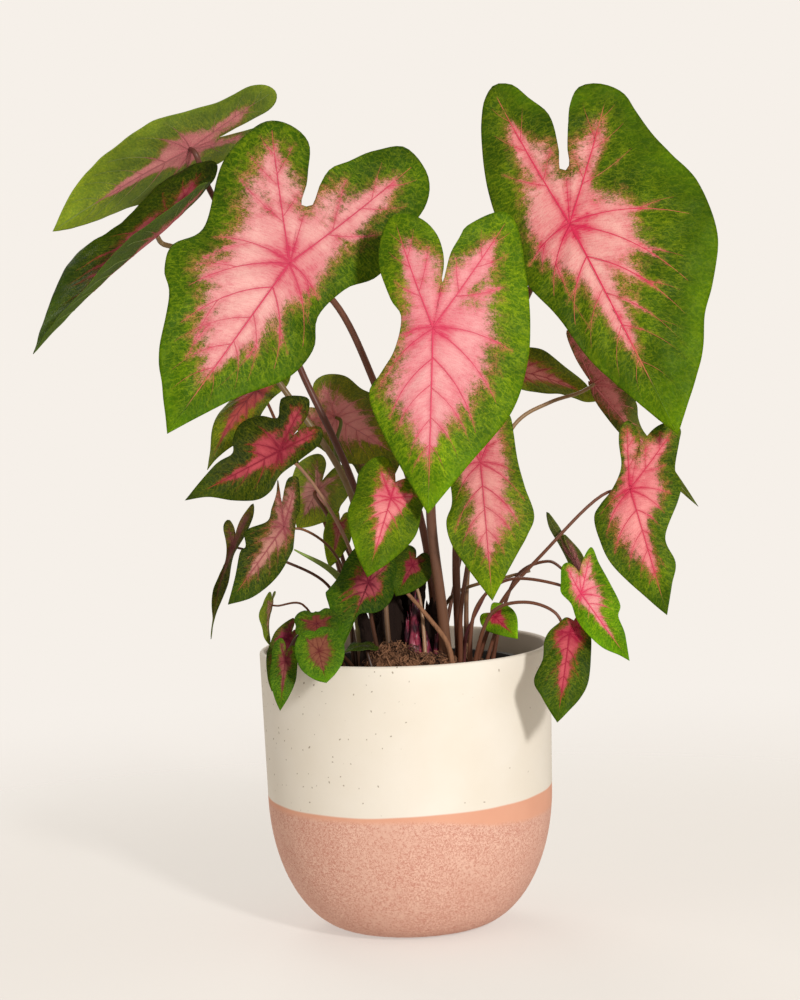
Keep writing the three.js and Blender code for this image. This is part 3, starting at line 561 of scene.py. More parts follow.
bark, shader, paint = skin("tuber_bark", Roughness=0.9, Specular_IOR_Level=0.25)
place = paint.place()
streaks = place.scaled(1, 1, 0.3).noise(520, 5, 0.7)
# The stored shade is each bit's own tone; on the trunk scales it is far lower, as painted shade.
mixed = (streaks + paint.stored("shade") * 0.35).step(-0.3, 0.45)
feed(shader, "Base Color", mixed.blend(colour(36, 22, 16), colour(172, 124, 92)))
emboss(shader, streaks, 0.9, 0.0015)
place_piece(shape.build("tuber_crown", [bark]), "tuber", "tuber")

# ---- stalks ----
# Long thin petioles, purple-brown with a darker fleck and a satin skin, that curve down from the
# blades to the crown. The rolled young leaf, the spike and the bare stalk share their skin.
stem_skin, shader, paint = skin("stalk", Specular_IOR_Level=0.45)
place = paint.place()
hue = paint.stored("hue", 1)
grain = place.scaled(1, 1, 0.2).noise(900, 4, 0.7)
fleck = place.scaled(1, 1, 0.35).noise(420, 2).step(0.05, 0.2)
flecked = (fleck * 0.6).blend(hue, colour(40, 23, 16))
feed(shader, "Base Color", (grain.step(-0.3, 0.3) * 0.5).blend(hue, flecked))
feed(shader, "Roughness", grain * 0.25 + 0.42)
emboss(shader, grain, 0.25, 0.0004)

# Of these, the dark brown is painted shade: the colour of a stalk's foot deep in the shaded crown.
STEM_BROWN, STEM_PAINTED_SHADE, STEM_TAN, STEM_GREEN = (114, 70, 50), (62, 40, 28), (172, 134, 102), (104, 118, 50)
STEM_SIDES = 12
# The heights of the points where a stem stands upright in the soil, and the height under which its
# colour turns to that of its foot, over the next one. Where the foot colour is the dark brown, it is
# painted shade deep in the crown.
FOOT_HEIGHTS, HUE_TOP, HUE_DROP = (215, 206, 196), 310, 90


def stem_foot(base):
    return [(*base, height) for height in FOOT_HEIGHTS]


def stem(name, centres, widths, top, foot):
    """A stem in its own skin, with one colour at its top and another down in the crown; where that is the
    dark brown, it is painted shade.
    """
    share = np.clip((HUE_TOP - centres[:, 2]) / HUE_DROP, 0, 1)[:, None]
    tones = np.array(colour(*top)[:3]) * (1 - share) + np.array(colour(*foot)[:3]) * share
    shape = Shape()
    shape.add(*tube(centres, widths, STEM_SIDES), hue=np.repeat(tones, STEM_SIDES, axis=0))
    return shape.build(name, [stem_skin])


# Each is a spindle: its radius at the soil, in the middle and at its free end, then its two colours.
SHOOTS = [
    ("rolled_leaf", (-34, -13), [(-38, -16, 262), (-54, -36, 293), (-85, -46, 314)], (1.6, 4.2, 0.6),
     (136, 162, 70), (112, 76, 60), "leaf"),
    ("shoot_spike", (46, -22), [(49, -26, 238), (65, -30, 269)], (2.2, 2.2, 0.4),
     (96, 40, 62), (112, 62, 60), "stem"),
    ("bare_petiole", (24, 14), [(38, 4, 265), (83, -12, 282), (102, -18, 287)], (2, 1.6, 1.1),
     (128, 104, 62), (112, 74, 62), "stem"),
]
for name, base, path, (foot_radius, middle, end), top, foot, slot in SHOOTS:
    centres = centripetal([*reversed(path), *stem_foot(base)], 8)
    t = np.linspace(0, 1, len(centres))
    widths = end * (1 - t) ** 2 + (4 * middle - foot_radius - end) * t * (1 - t) + foot_radius * t**2
    place_piece(stem(name + "_skin", centres, widths, top, foot), slot, name)

# ---- papery sheaths ----
# Thin magenta scale leaves that wrap the foot of the stems, creased along their length and split.
random.seed(5)
shape = Shape()
SHEATHS = [
    (6, -37, 78, 5.5, 0.3), (11, -37, 70, 4.5, -0.4), (3, -34, 62, 4, 1.2), (19, -36, 58, 4.5, -0.5),
    (23, -34, 46, 4, 0.6),
]
for sheath in SHEATHS:
    scale_leaf(shape, *sheath, 0, 2.2, 0.5, 0.45)
paper, shader, paint = skin("papery_sheath", Specular_IOR_Level=0.35)
place = paint.place()
along = paint.stored("along")
lines = place.scaled(1, 1, 0.16).noise(800, 4, 0.65)
# Partly the sheaths' own blotchy dye, partly painted shade in the grooves of the streaks and painted
# highlight on their ridges.
dye_and_crease_shade = (lines + place.noise(110, 4) * 2.6 - along * 0.3).step(-0.5, 1.0)
tint = dye_and_crease_shade.blend(colour(52, 16, 30), colour(224, 82, 114))
faded = lines.step(0.12, 0.2) * along.step(0.4, 0.1)
feed(shader, "Base Color", faded.blend(tint, colour(222, 168, 146)))
feed(shader, "Roughness", lines * 0.3 + 0.34)
emboss(shader, lines, 0.5, 0.0006)
place_piece(shape.build("sheath_scales", [paper]), "sheath", "pink_sheath")

# ---- leaves: shape ----
# Each blade is one thin closed sheet over a heart-shaped plan: u runs from the stalk to the tip and v
# to the right. It arches and cups, waves at the margin and puffs up a little between its veins.

# A leaf is "at" the top of its stalk and points to its "tip", both in mm. Its margin goes from the tip
# down the right and the left half to the notch: (u, v) pairs in percent of the length from the stalk
# to the tip, or for a plain heart its half width and the reach of its back lobe in mm. "notch" is how
# far behind the stalk the notch lies, and how far to the right. "cup" lifts the right and the left
# half, in mm, and "fold" turns them up about the midrib, in degrees; "turn" rolls the leaf about its
# midrib, "shut" draws its back lobes together, and "arch" and "wave" are heights in mm. The stalk
# stands off by "neck" mm and goes "via" its points to its "base" in the soil, "thin" at the top and
# "thick" at the foot, as radii in mm. The blade and stalk of a "fused" leaf take the place of one node.
LEAVES = [
    dict(number="01", size="large", at=(-80, -40, 540), tip=(-178, -95, 413),
        right=[(69, 16), (46, 30), (27, 32), (13, 25), (-6, 28), (-22, 37), (-45, 36), (-66, 36), (-79, 28),
            (-82, 12), (-70, 1), (-59, -4.3), (-50, -8.5), (-40, -8), (-34, -7.2), (-30, -7.1)],
        left=[(84, 14), (71, 25), (47, 36), (37, 45), (24, 49), (8, 42), (-25, 53), (-50, 50), (-58, 40),
            (-55, 28), (-43, 20), (-34, 15.2), (-29, 12.8), (-26.8, 10.7)],
        notch=(47, -15.4), cup=(-14, -18), shut=0.6, arch=8, wave=2.5, thin=1.6, thick=2.7, base=(26, 2),
        via=[(-47, -8, 507), (-17, 2, 440), (18, 2, 320)]),
    dict(number="02", size="large", at=(30, -100, 488), tip=(21, -130, 347),
        right=[(72, 22), (44, 43), (17, 51), (-8, 52), (-35, 49), (-59, 44), (-66, 35), (-57, 17.5),
            (-50, 13), (-42, 8.8), (-35, 7.05), (-27, 5.4)],
        left=[(92, 5), (60, 24), (37, 33), (25, 27), (12, 20), (-6, 17), (-16, 23), (-36, 30), (-54, 28),
            (-63, 21), (-60, 8), (-52, -0.5), (-43, -4), (-35, -4.9), (-26.2, -3.8)],
        notch=(36, 6.5), cup=(-12, -30), arch=6, wave=2, thin=1.6, thick=3.1, base=(32, -36),
        via=[(26, -78, 415), (24, -62, 335), (31, -42, 253)]),
    dict(number="03", size="large", at=(142, -20, 563), tip=(218, -80, 397),
        right=[(77, 22), (60, 32), (49, 41), (31, 52), (7, 55), (-10, 50.5), (-22, 47.5), (-34, 46),
            (-43, 45), (-50, 39), (-52, 31.8), (-46, 25), (-40, 21.1), (-35, 18.1), (-30, 15.3),
            (-25, 12.65), (-22.6, 10.5)],
        left=[(80, 9), (57, 18), (34, 22), (16, 27), (-1, 27), (-17, 26), (-33, 23), (-50, 17), (-64, 9.5),
            (-70, 2), (-67, -4.5), (-59, -7.5), (-50, -10.6), (-43, -10.45), (-35, -8.85), (-29, -7.45),
            (-25, -6.55), (-23.5, -6.6)],
        notch=(42, 16.5), cup=(-14, -12), shut=0.75, arch=8, wave=2.5, thin=1.6, thick=2.7, base=(44, -12),
        via=[(110, 4, 511), (75, 2, 424), (46, -12, 330)]),
    dict(number="04", size="large", at=(-162, 85, 633), tip=(-275, 55, 570),
        right=[(70, 18), (45, 26), (16, 29), (-5, 24), (-30, 19), (-50, 19), (-61, 12), (-63, 3), (-55, -4),
            (-42, -4.8), (-30, -4.4)],
        left=[(74, 16), (36, 31), (2, 30), (-21, 32), (-40, 25), (-47, 17), (-37, 10.5)],
        notch=(26, -5), fold=(0, 33), turn=210, arch=5, wave=2, thin=1.5, thick=2.4, base=(-12, 16),
        via=[(-147, 86, 598), (-99, 50, 517), (-78, 26, 456), (-35, 14, 351)]),
    dict(number="05", size="large", at=(-187, 10, 564), tip=(-286, -30, 475), right=(34, 60), left=(60, 84),
        notch=(28, 0), fold=(60, -8), turn=-50, arch=4, wave=2, neck=8, thin=1.5, thick=2.4, base=(-22, -8),
        via=[(-168, 8, 551), (-93, 0, 443), (-39, -6, 352)]),
    dict(number="06", size="large", at=(-93, -60, 394), tip=(-167, -88, 360),
        right=[(80, 7), (61, 20), (40, 30), (25, 29), (10, 20), (-17, 16), (-38, 12), (-46, 2), (-42, -4),
            (-28, -8)],
        left=[(61, 16), (42, 18), (35, 29), (20, 38), (0, 36), (-13, 27), (-21.5, 36.5), (-27, 41),
            (-38, 38), (-49, 29), (-40, 16.5), (-28, 10.5)],
        notch=(12, -4.1), cup=(-10, -10), arch=4, wave=1.5, base=(-30, -20), via=[(-78, -40, 378),
        (-40, -28, 307)]),
    dict(number="07", size="medium", at=(-114, 40, 436), tip=(-155, 20, 374), right=(24, 32), left=(22, 32),
        notch=(14, 0), cup=(-6, -6), turn=-50, arch=4, wave=2, base=(-40, 16), via=[(-96, 60, 400),
        (-68, 58, 340), (-48, 34, 270)]),
    dict(number="08", size="medium", at=(-50, 60, 410), tip=(5, 95, 370), right=(30, 34), left=(33, 38),
        notch=(14, 0), cup=(-6, -6), turn=180, arch=4, wave=2, base=(-20, 26), via=[(-51, 42, 384),
        (-38, 34, 340)]),
    dict(number="09", size="medium", at=(-21, 112, 380), tip=(-4, 128, 354), right=(23, 30), left=(24, 30),
        notch=(10, 0), cup=(-4, -4), turn=180, arch=3, wave=1.5, base=(-4, 32), via=[(-14, 98, 345),
        (-8, 60, 300)]),
    dict(number="10", size="medium", at=(-7, -108, 358), tip=(-27, -130, 300), right=(27, 22),
        left=(29, 32), notch=(14, 0), cup=(-8, -8), arch=4, wave=1.5, base=(-12, -44), via=[(-10, -70, 330),
        (-14, -46, 302), (-14, -44, 262)]),
    dict(number="11", size="large", at=(64, -70, 380), tip=(69, -95, 274),
        right=[(69, 20), (55, 29), (41, 35), (20, 30), (0, 26.6), (-20, 25.5), (-33, 24), (-42, 17),
            (-38, 8)],
        left=[(69, 19.7), (55, 26.6), (41, 28), (30, 23.4), (20, 22.5), (0, 24), (-20, 25), (-35, 22),
            (-42, 14), (-36, 6)],
        notch=(20, 0), cup=(-10, -10), arch=5, wave=2, base=(44, -32), via=[(54, -52, 312), (45, -38, 256)]),
    dict(number="12", size="large", at=(181, -60, 354), tip=(205, -88, 257),
        right=[(79, 10), (64, 17), (43, 15), (19, 32), (7, 38), (-6, 37), (-26, 46), (-36, 50), (-43, 43),
            (-41, 31), (-31, 17.5)],
        left=[(85, 10), (53, 29), (30, 33), (13, 32), (5, 25), (-4, 13), (-18, 2), (-38, -2), (-48, -6),
            (-52, -14), (-38, -18.3)],
        notch=(21, 11), cup=(-8, -8), arch=4, wave=2, base=(58, -26), via=[(164, -48, 351), (112, -50, 305),
        (76, -34, 262)]),
    dict(number="13", size="large", at=(161, 60, 430), tip=(246, 70, 325),
        right=[(80, 3), (50, 6), (30, 7), (12, 6), (1, 3), (-3, 1)],
        left=[(80, 3), (60, 5), (44, 5), (35, 8), (26, 14), (5, 18), (-20, 16), (-35, 10), (-20, 3)],
        notch=(3, 0), fold=(0, 20), turn=180, arch=3, wave=1, neck=5, base=(50, 22), via=[(150, 52, 424),
        (125, 48, 417), (95, 40, 400), (56, 28, 300)]),
    dict(number="14", size="medium", at=(101, 82, 441), tip=(166, 97, 413), right=(28, 34), left=(26, 34),
        notch=(14, 0), fold=(26, 0), turn=66, arch=4, wave=2, base=(30, 36), via=[(76, 66, 390)]),
    dict(number="15", size="large", at=(138, -104, 278), tip=(172, -128, 228),
        right=[(72, 14), (49, 20), (38, 30), (9, 35), (-20, 38), (-42, 42), (-35, 26)],
        left=[(87, 6), (68, 17), (43, 22), (21, 22), (2, 17), (-16, 19), (-27, 12), (-42, 1), (-43, -8),
            (-33, -12)],
        notch=(15, 8), cup=(-6, -6), arch=3, wave=1, base=(51, -44), via=[(120, -86, 284), (80, -60, 285),
        (57, -48, 262)]),
    dict(number="16", size="medium", at=(140, -50, 290), tip=(160, -74, 233),
        right=[(70, 12), (40, 19), (10, 18), (-30, 16), (-65, 14), (-84, 7), (-68, 1.5)],
        left=[(70, 15), (40, 22), (10, 20), (-15, 16), (-35, 10), (-48, 5), (-36, 1)],
        notch=(14, 0), cup=(-3, -3), turn=125, arch=3, wave=1.5, base=(70, -14), via=[(116, -32, 296),
        (92, -18, 284)]),
    dict(number="17", size="medium", at=(128, -100, 247), tip=(115, -128, 182),
        right=[(88, 9), (69, 21), (50, 27), (22, 26), (0, 24), (-22, 18), (-24, 8)],
        left=[(76, 20), (59, 31), (34, 25), (14, 26), (1, 22), (-10, 13), (-18, 6)],
        notch=(11, 2), cup=(-6, -6), arch=3, wave=1, base=(54, -56), via=[(118, -90, 262), (96, -80, 270),
        (70, -68, 262)]),
    dict(number="18", size="small", at=(72, -50, 255), tip=(89, -64, 239),
        right=[(71, 30), (41, 50), (6, 50), (-30, 33), (-36, 20)],
        left=[(55, 26), (9, 45), (-18, 43), (-37, 31), (-39, 17)],
        notch=(6, 0), arch=1, wave=0.5, neck=6, thick=1.6, base=(64, -40), fused=True),
    dict(number="19", size="large", at=(-27, -72, 289), tip=(-48, -97, 243),
        right=[(80, 1), (51, 4), (38, 24), (21, 36), (0, 39), (-16, 33), (-40, 30), (-50, 15), (-35, 4)],
        left=[(77, 24), (56, 37), (37, 49), (28, 47), (5, 41), (-20, 40), (-46, 33), (-50, 20), (-35, 6)],
        notch=(10, 0), cup=(-8, -8), arch=3, wave=1, base=(-20, -46)),
    dict(number="20", size="small", at=(8, -36, 297), tip=(-6, -54, 275),
        right=[(75, 26), (20, 52), (-20, 49), (-50, 32), (-50, 10)],
        left=[(70, 30), (30, 50), (-10, 50), (-45, 35), (-50, 12)],
        notch=(8, 0), arch=2, wave=1, neck=6, thick=1.7, base=(16, -46), via=[(13, -34, 270)], fused=True),
    dict(number="21", size="small", at=(-66, -136, 245), tip=(-61, -147, 222),
        right=[(82, 32), (50, 62), (10, 76), (-30, 72), (-62, 52), (-74, 24)],
        left=[(82, 32), (50, 60), (10, 70), (-30, 68), (-64, 50), (-76, 24)],
        notch=(17, 0), arch=2, wave=0.6, neck=7, thick=1.7, base=(-40, -58), via=[(-59, -112, 241),
        (-50, -84, 234)], fused=True),
    dict(number="22", size="small", at=(-68, -104, 262), tip=(-67, -115, 246), right=(17, 14),
        left=(17, 14), notch=(12, 0), arch=2, wave=0.6, neck=7, thick=1.7, base=(-48, -40), fused=True),
    dict(number="23", size="small", at=(-104, -60, 272), tip=(-107, -62, 241), right=(14, 11),
        left=(14, 11), notch=(4, 0), fold=(20, 20), turn=-105, arch=2, wave=1, neck=5, thick=1.7,
        base=(-58, -22), via=[(-80, -46, 270)], fused=True),
    dict(number="24", size="small", at=(-92, -82, 248), tip=(-105, -96, 209),
        right=[(70, 12), (40, 20), (10, 18), (-12, 16), (-20, 8.5)],
        left=[(80, 13), (43, 26), (11, 27), (-11, 23), (-35, 7), (-40, -3)],
        notch=(6, 2), turn=-10, arch=2, wave=0.5, neck=7, thick=1.7, base=(-62, -36), fused=True),
    dict(number="25", size="medium", at=(-93, -114, 235), tip=(-98, -124, 198), right=(10, 13),
        left=(11, 18), notch=(7, 0), cup=(-4, -4), arch=2, wave=0.6, neck=7, base=(-50, -58),
        via=[(-82, -98, 252)]),
    dict(number="26", size="large", at=(-92, -60, 334), tip=(-137, -86, 277),
        right=[(79, 16), (48, 24), (18, 22), (8, 18), (-14, 6), (-26, 3), (-44, -10), (-52, -18),
            (-43, -25)],
        left=[(74, 10), (50, 21), (41, 20), (27, 29), (6, 17), (-8, 21), (-25, 26), (-38, 33), (-30, 25.2)],
        notch=(15, -12), cup=(-6, -6), arch=3, wave=1, base=(-42, -4), via=[(-77, -42, 329),
        (-50, -14, 299)]),
    dict(number="27", size="medium", at=(-136, 0, 313), tip=(-156, -10, 240),
        right=[(80, 7), (40, 12), (10, 14), (-15, 18), (-35, 19), (-49, 14), (-30, 4)],
        left=[(80, 4), (40, 6), (10, 6), (-5, 10), (-20, 19), (-27, 16), (-15, 5)],
        notch=(8, 0), fold=(0, 45), turn=-60, arch=3, wave=2, base=(-52, 6), via=[(-96, 2, 300),
        (-58, 4, 275)]),
    dict(number="28", size="medium", at=(-67, 40, 353), tip=(-85, 56, 320), right=(24, 34), left=(24, 34),
        notch=(10, 0), cup=(-4, -4), turn=180, arch=3, wave=2, base=(-30, 8), via=[(-58, 28, 330)]),
    dict(number="29", size="small", at=(-50, 14, 326), tip=(-59, 10, 292), right=(12, 12), left=(12, 12),
        notch=(4, 0), turn=20, arch=2, wave=0.6, neck=6, thick=1.7, base=(-8, 2), fused=True),
    dict(number="30", size="small", at=(-30, -62, 237), tip=(-48, -70, 234), right=(8, 8), left=(8, 8),
        notch=(3, 0), turn=-70, arch=2, wave=0.5, neck=5, thick=1.6, base=(-26, -62), fused=True),
]
# What each leaf looks like: the green of its margin, the pale and the strong pink of its middle, and
# the width of the green border on its right and its left, as a share of its length; a list gives the
# width at places along the leaf.
LOOKS = {
    "01": ((64, 96, 6), (245, 190, 183), (208, 62, 94), 0.22, 0.17),
    "02": ((80, 114, 6), (241, 176, 176), (216, 66, 98), 0.22,
           [(-0.5, 0.24), (-0.25, 0.16), (0, 0.04), (0.25, 0.05), (0.45, 0.13)]),
    "03": ((66, 94, 5), (244, 192, 181), (212, 46, 84), 0.34, 0.21),
    "04": ((104, 124, 50), (188, 124, 118), (166, 70, 88), 0.42, 0.42),
    "05": ((48, 72, 12), (200, 104, 108), (146, 32, 60), 0.6, 0.3),
    "06": ((40, 56, 4), (200, 86, 94), (132, 28, 48), 0.27, 0.27),
    "07": ((96, 116, 36), (226, 104, 98), (150, 60, 70), 0.2, 0.2),
    # Leaf 08 is given paler colours than its own, as painted light on a blade that leaves in front shade.
    "08": ((118, 128, 40), (255, 176, 176), (220, 110, 122), 0.24, 0.24),
    # Leaf 09's dull pinks are partly its duller underside and partly painted shade, for it lies in shadow at
    # the back.
    "09": ((90, 100, 50), (150, 90, 80), (130, 60, 60), 0.2, 0.2),
    "10": ((74, 102, 4), (244, 158, 156), (206, 56, 88), 0.36, 0.36),
    "11": ((76, 104, 14), (240, 172, 164), (198, 64, 88), 0.15, 0.16),
    "12": ((60, 88, 14), (246, 166, 162), (206, 54, 84), 0.18, 0.17),
    "13": ((64, 70, 10), (252, 158, 152), (170, 40, 66), 0.14, 0.14),
    "14": ((104, 124, 30), (252, 164, 152), (170, 56, 70), 0.26, 0.26),
    "15": ((84, 130, 8), (252, 188, 184), (226, 66, 104), 0.24, 0.34),
    "16": ((84, 98, 64), (150, 100, 96), (110, 44, 60), 0.3, 0.3),
    "17": ((54, 80, 8), (212, 100, 106), (164, 32, 62), 0.25, 0.25),
    "18": ((98, 142, 18), (206, 80, 94), (164, 28, 58), 0.38, 0.38),
    "19": ((44, 76, 10), (190, 92, 98), (104, 22, 42), 0.34, 0.34),
    "20": ((48, 72, 6), (150, 66, 70), (124, 22, 48), 0.46, 0.46),
    "21": ((70, 112, 24), (140, 88, 66), (110, 44, 44), 0.42, 0.42),
    "22": ((52, 84, 18), (126, 62, 52), (100, 34, 40), 0.44, 0.44),
    "23": ((96, 116, 26), (110, 110, 50), (110, 70, 50), 0.3, 0.3),
    "24": ((60, 88, 30), (150, 60, 80), (110, 24, 50), 0.14, 0.14),
    "25": ((58, 96, 16), (146, 88, 76), (116, 40, 52), 0.34, 0.34),
    "26": ((38, 58, 4), (206, 152, 134), (150, 74, 80), 0.2, 0.2),
    "27": ((60, 70, 30), (130, 96, 80), (110, 60, 60), 0.18, 0.18),
    "28": ((142, 162, 66), (232, 176, 166), (200, 120, 120), 0.34, 0.34),
    # Leaf 29 is given paler colours than its own, as painted light on a blade that lies in shadow.
    "29": ((126, 158, 56), (210, 140, 130), (170, 70, 80), 0.36, 0.36),
    "30": ((38, 58, 16), (44, 60, 24), (60, 60, 40), 0.5, 0.5),
}
HEART = [(0.74, 0.5), (0.36, 0.97), (0.02, 0.95), (-0.45, 1), (-0.85, 0.78), (-1, 0.46), (-0.8, 0.16)]
SPOKES = {"large": 170, "medium": 110, "small": 72}
RINGS = {"large": 40, "medium": 24, "small": 14}
# How many waves a margin has, how softly a fold bends and how thick a sheet is, in mm.
WAVES, SOFT, SHEET = 5, 4, 0.6
# How far the sheet puffs up between its veins and how far it ripples, as shares of its length, and how
# wide a ripple is, in mm.
PUFF, RIPPLE, RIPPLE_WIDTH = 0.011, 0.012, 14
# How many rings of points a vein has: the midrib, the two ribs, the side veins and the small ones.
STATIONS = {"large": (44, 34, 30, 18), "medium": (30, 24, 20, 12), "small": (20, 16, 12, 8)}
# Where the side veins leave the midrib, as a share of it, and at what angle; then the same for the
# branches of the ribs, where a minus turns forward.
SIDE_VEINS = ((0, 88), (0.01, 58), (0.17, 55), (0.33, 52), (0.49, 48), (0.65, 44))
RIB_BRANCHES = ((0.3, -52), (0.58, -46), (0.36, 40), (0.66, 38), (0.82, -38))
# How far the pink runs out along the small veins, as a share of the green border.
SPIKES = {"large": 0.36, "medium": 0.24, "small": 0.16}


def unit(vector):
    return vector / np.linalg.norm(vector)


def spline(knots, count):
    """Even steps along a uniform Catmull-Rom curve through flat knots."""
    knots = np.array([knots[0], *knots, knots[-1]], float)
    fine = []
    for k in range(1, len(knots) - 2):
        before, start, end, after = knots[k - 1 : k + 3]
        fine.append(bent(start, end, (end - before) / 2, (after - start) / 2, np.arange(40)[:, None] / 40))
    fine = np.concatenate([*fine, knots[-1:]])
    along = np.concatenate([[0], np.cumsum(np.linalg.norm(np.diff(fine, axis=0), axis=1))])
    steps = np.linspace(0, along[-1], count + 1)
    return np.stack([np.interp(steps, along, fine[:, k]) for k in (0, 1)], 1)


class Blade:
    """The plan and the curved surface of one leaf."""

    def __init__(self, leaf):
        self.leaf = leaf
        self.at = np.array(leaf["at"], float)
        tip = np.array(leaf["tip"], float) - self.at
        self.length = float(np.linalg.norm(tip))
        self.tip = tip / self.length
        level = unit(np.cross(self.tip, (0, 1, 0)))
        square = np.cross(self.tip, level)
        turn = math.radians(leaf.get("turn", 0))
        self.up = square * math.cos(turn) + level * math.sin(turn)
        self.side = np.cross(self.up, self.tip)
        half = SPOKES[leaf["size"]] // 2
        right = spline(self.margin("right"), half)
        left = spline([(u, -v) for u, v in self.margin("left")], half)[::-1]
        self.edges = np.concatenate([right[:half], left[:half]])
        turns = np.unwrap(np.arctan2(self.edges[:, 1], self.edges[:, 0]))
        self.turns = np.maximum.accumulate(np.append(turns, turns[0] + 2 * math.pi))
        self.reaches = np.append(np.linalg.norm(self.edges, axis=1), np.linalg.norm(self.edges[0]))
        self.veins = self.venation()

    def margin(self, which):
        half, length = self.leaf[which], self.length
        if isinstance(half, list):
            points = [(u * length / 100, v * length / 100) for u, v in half]
        else:
            wide, lobe = half
            points = [(u * (lobe if u < 0 else length), v * wide) for u, v in HEART]
        lean = self.leaf["notch"][1] * (-1 if which == "left" else 1)
        return [(length, 0), *points, (-self.leaf["notch"][0], lean)]

    def polar(self, plan):
        """The place round the outline, from 0 to 1, and the share of the way out to it."""
        angle = np.mod(np.arctan2(plan[:, 1], plan[:, 0]) - self.turns[0], 2 * math.pi) + self.turns[0]
        place = np.interp(angle, self.turns, np.arange(len(self.turns)) / (len(self.turns) - 1))
        reach = np.interp(angle, self.turns, self.reaches)
        return place, np.linalg.norm(plan, axis=1) / reach

    def border(self, plan):
        """How far inside the outline each point is."""
        ends = np.roll(self.edges, -1, axis=0)
        return segment_distance(plan, self.edges, ends).min(axis=1)

    def reach(self, start, angle):
        """How far it is from a point of the plan to the outline in a direction."""
        ends = np.roll(self.edges, -1, axis=0)
        ahead = np.array([math.cos(angle), math.sin(angle)])
        span = ends - self.edges
        cross = ahead[0] * span[:, 1] - ahead[1] * span[:, 0]
        cross[np.abs(cross) < 1e-9] = 1e-9
        offset = self.edges - np.asarray(start)
        far = (offset[:, 0] * span[:, 1] - offset[:, 1] * span[:, 0]) / cross
        share = (offset[:, 0] * ahead[1] - offset[:, 1] * ahead[0]) / cross
        hits = far[(share >= 0) & (share <= 1) & (far > 0.5)]
        return float(hits.min()) if len(hits) else 0.0

    def curve(self, start, angle, bend, share, order, width):
        """A vein from a point that sets out at an angle and turns by bend on its way to the margin."""
        far = self.reach(start, angle + bend) * share
        start = np.array(start, float)
        middle = start + 0.5 * far * np.array([math.cos(angle), math.sin(angle)])
        end = start + far * np.array([math.cos(angle + bend), math.sin(angle + bend)])
        t = np.linspace(0, 1, 36 if order > 1 else 48)[:, None]
        plan = start * (1 - t) ** 2 + 2 * middle * t * (1 - t) + end * t**2
        return {"plan": plan, "order": order, "width": width}

    def venation(self):
        """The midrib, which is of order 0, a rib into each back lobe, side veins and their branches."""
        length = self.length
        girth = 1.4 * (length / 180) ** 0.7
        t = np.linspace(0, 0.975, 60)[:, None]
        veins = [{"plan": t * (length, 0), "order": 0, "width": girth}]
        chance = random.Random("leaf_" + self.leaf["number"])
        for sign in (1, -1):
            count = len(self.edges) // 2
            half = self.edges[:count] if sign > 0 else self.edges[count:]
            lobe = half[np.argmax(np.linalg.norm(half, axis=1) * (half[:, 0] < 0))]
            rib_angle = math.atan2(lobe[1], lobe[0])
            rib_angle = rib_angle if sign * rib_angle > 0 else rib_angle + sign * 2 * math.pi
            rib = self.curve((0, 0), rib_angle - sign * 0.05, sign * 0.04, 0.93, 1, girth * 0.8)
            veins.append(rib)
            for place, angle in SIDE_VEINS:
                angle += chance.uniform(-6, 6)
                place += chance.uniform(-0.02, 0.02) * (place > 0.1)
                start = (length * place, 0)
                order, width = (2, girth * 0.6) if place < 0.25 else (3, girth * 0.38)
                side = self.curve(start, sign * math.radians(angle), sign * -0.32, 0.84, order, width)
                veins.append(side)
                if length > 150 and place < 0.4:
                    spot = int(chance.uniform(0.45, 0.65) * (len(side["plan"]) - 1))
                    ahead = side["plan"][spot + 1] - side["plan"][spot]
                    heading = math.atan2(ahead[1], ahead[0]) + sign * math.radians(chance.choice((28, -28)))
                    veins.append(self.curve(side["plan"][spot], heading, sign * -0.15, 0.55, 3, width * 0.55))
            steps = rib["plan"]
            for share, turn in RIB_BRANCHES:
                start = steps[int(share * (len(steps) - 1))]
                angle = rib_angle + sign * math.radians(turn + chance.uniform(-5, 5))
                bend = sign * (0.2 if turn < 0 else -0.1)
                veins.append(self.curve(start, angle, bend, 0.7, 3, girth * 0.4))
        sinus = math.atan2(self.leaf["notch"][1], -self.leaf["notch"][0])
        veins.append(self.curve((0, 0), sinus, 0, 0.85, 2, girth * 0.5))
        return [vein for vein in veins if np.ptp(vein["plan"], axis=0).max() > 0.05 * length]

    def nearest(self, plan, orders):
        """The distance from each point to the nearest vein of those orders."""
        chosen = [vein["plan"] for vein in self.veins if vein["order"] in orders]
        chosen = [line[np.linspace(0, len(line) - 1, 15).astype(int)] for line in chosen]
        starts = np.concatenate([line[:-1] for line in chosen])
        ends = np.concatenate([line[1:] for line in chosen])
        return segment_distance(plan, starts, ends).min(axis=1)

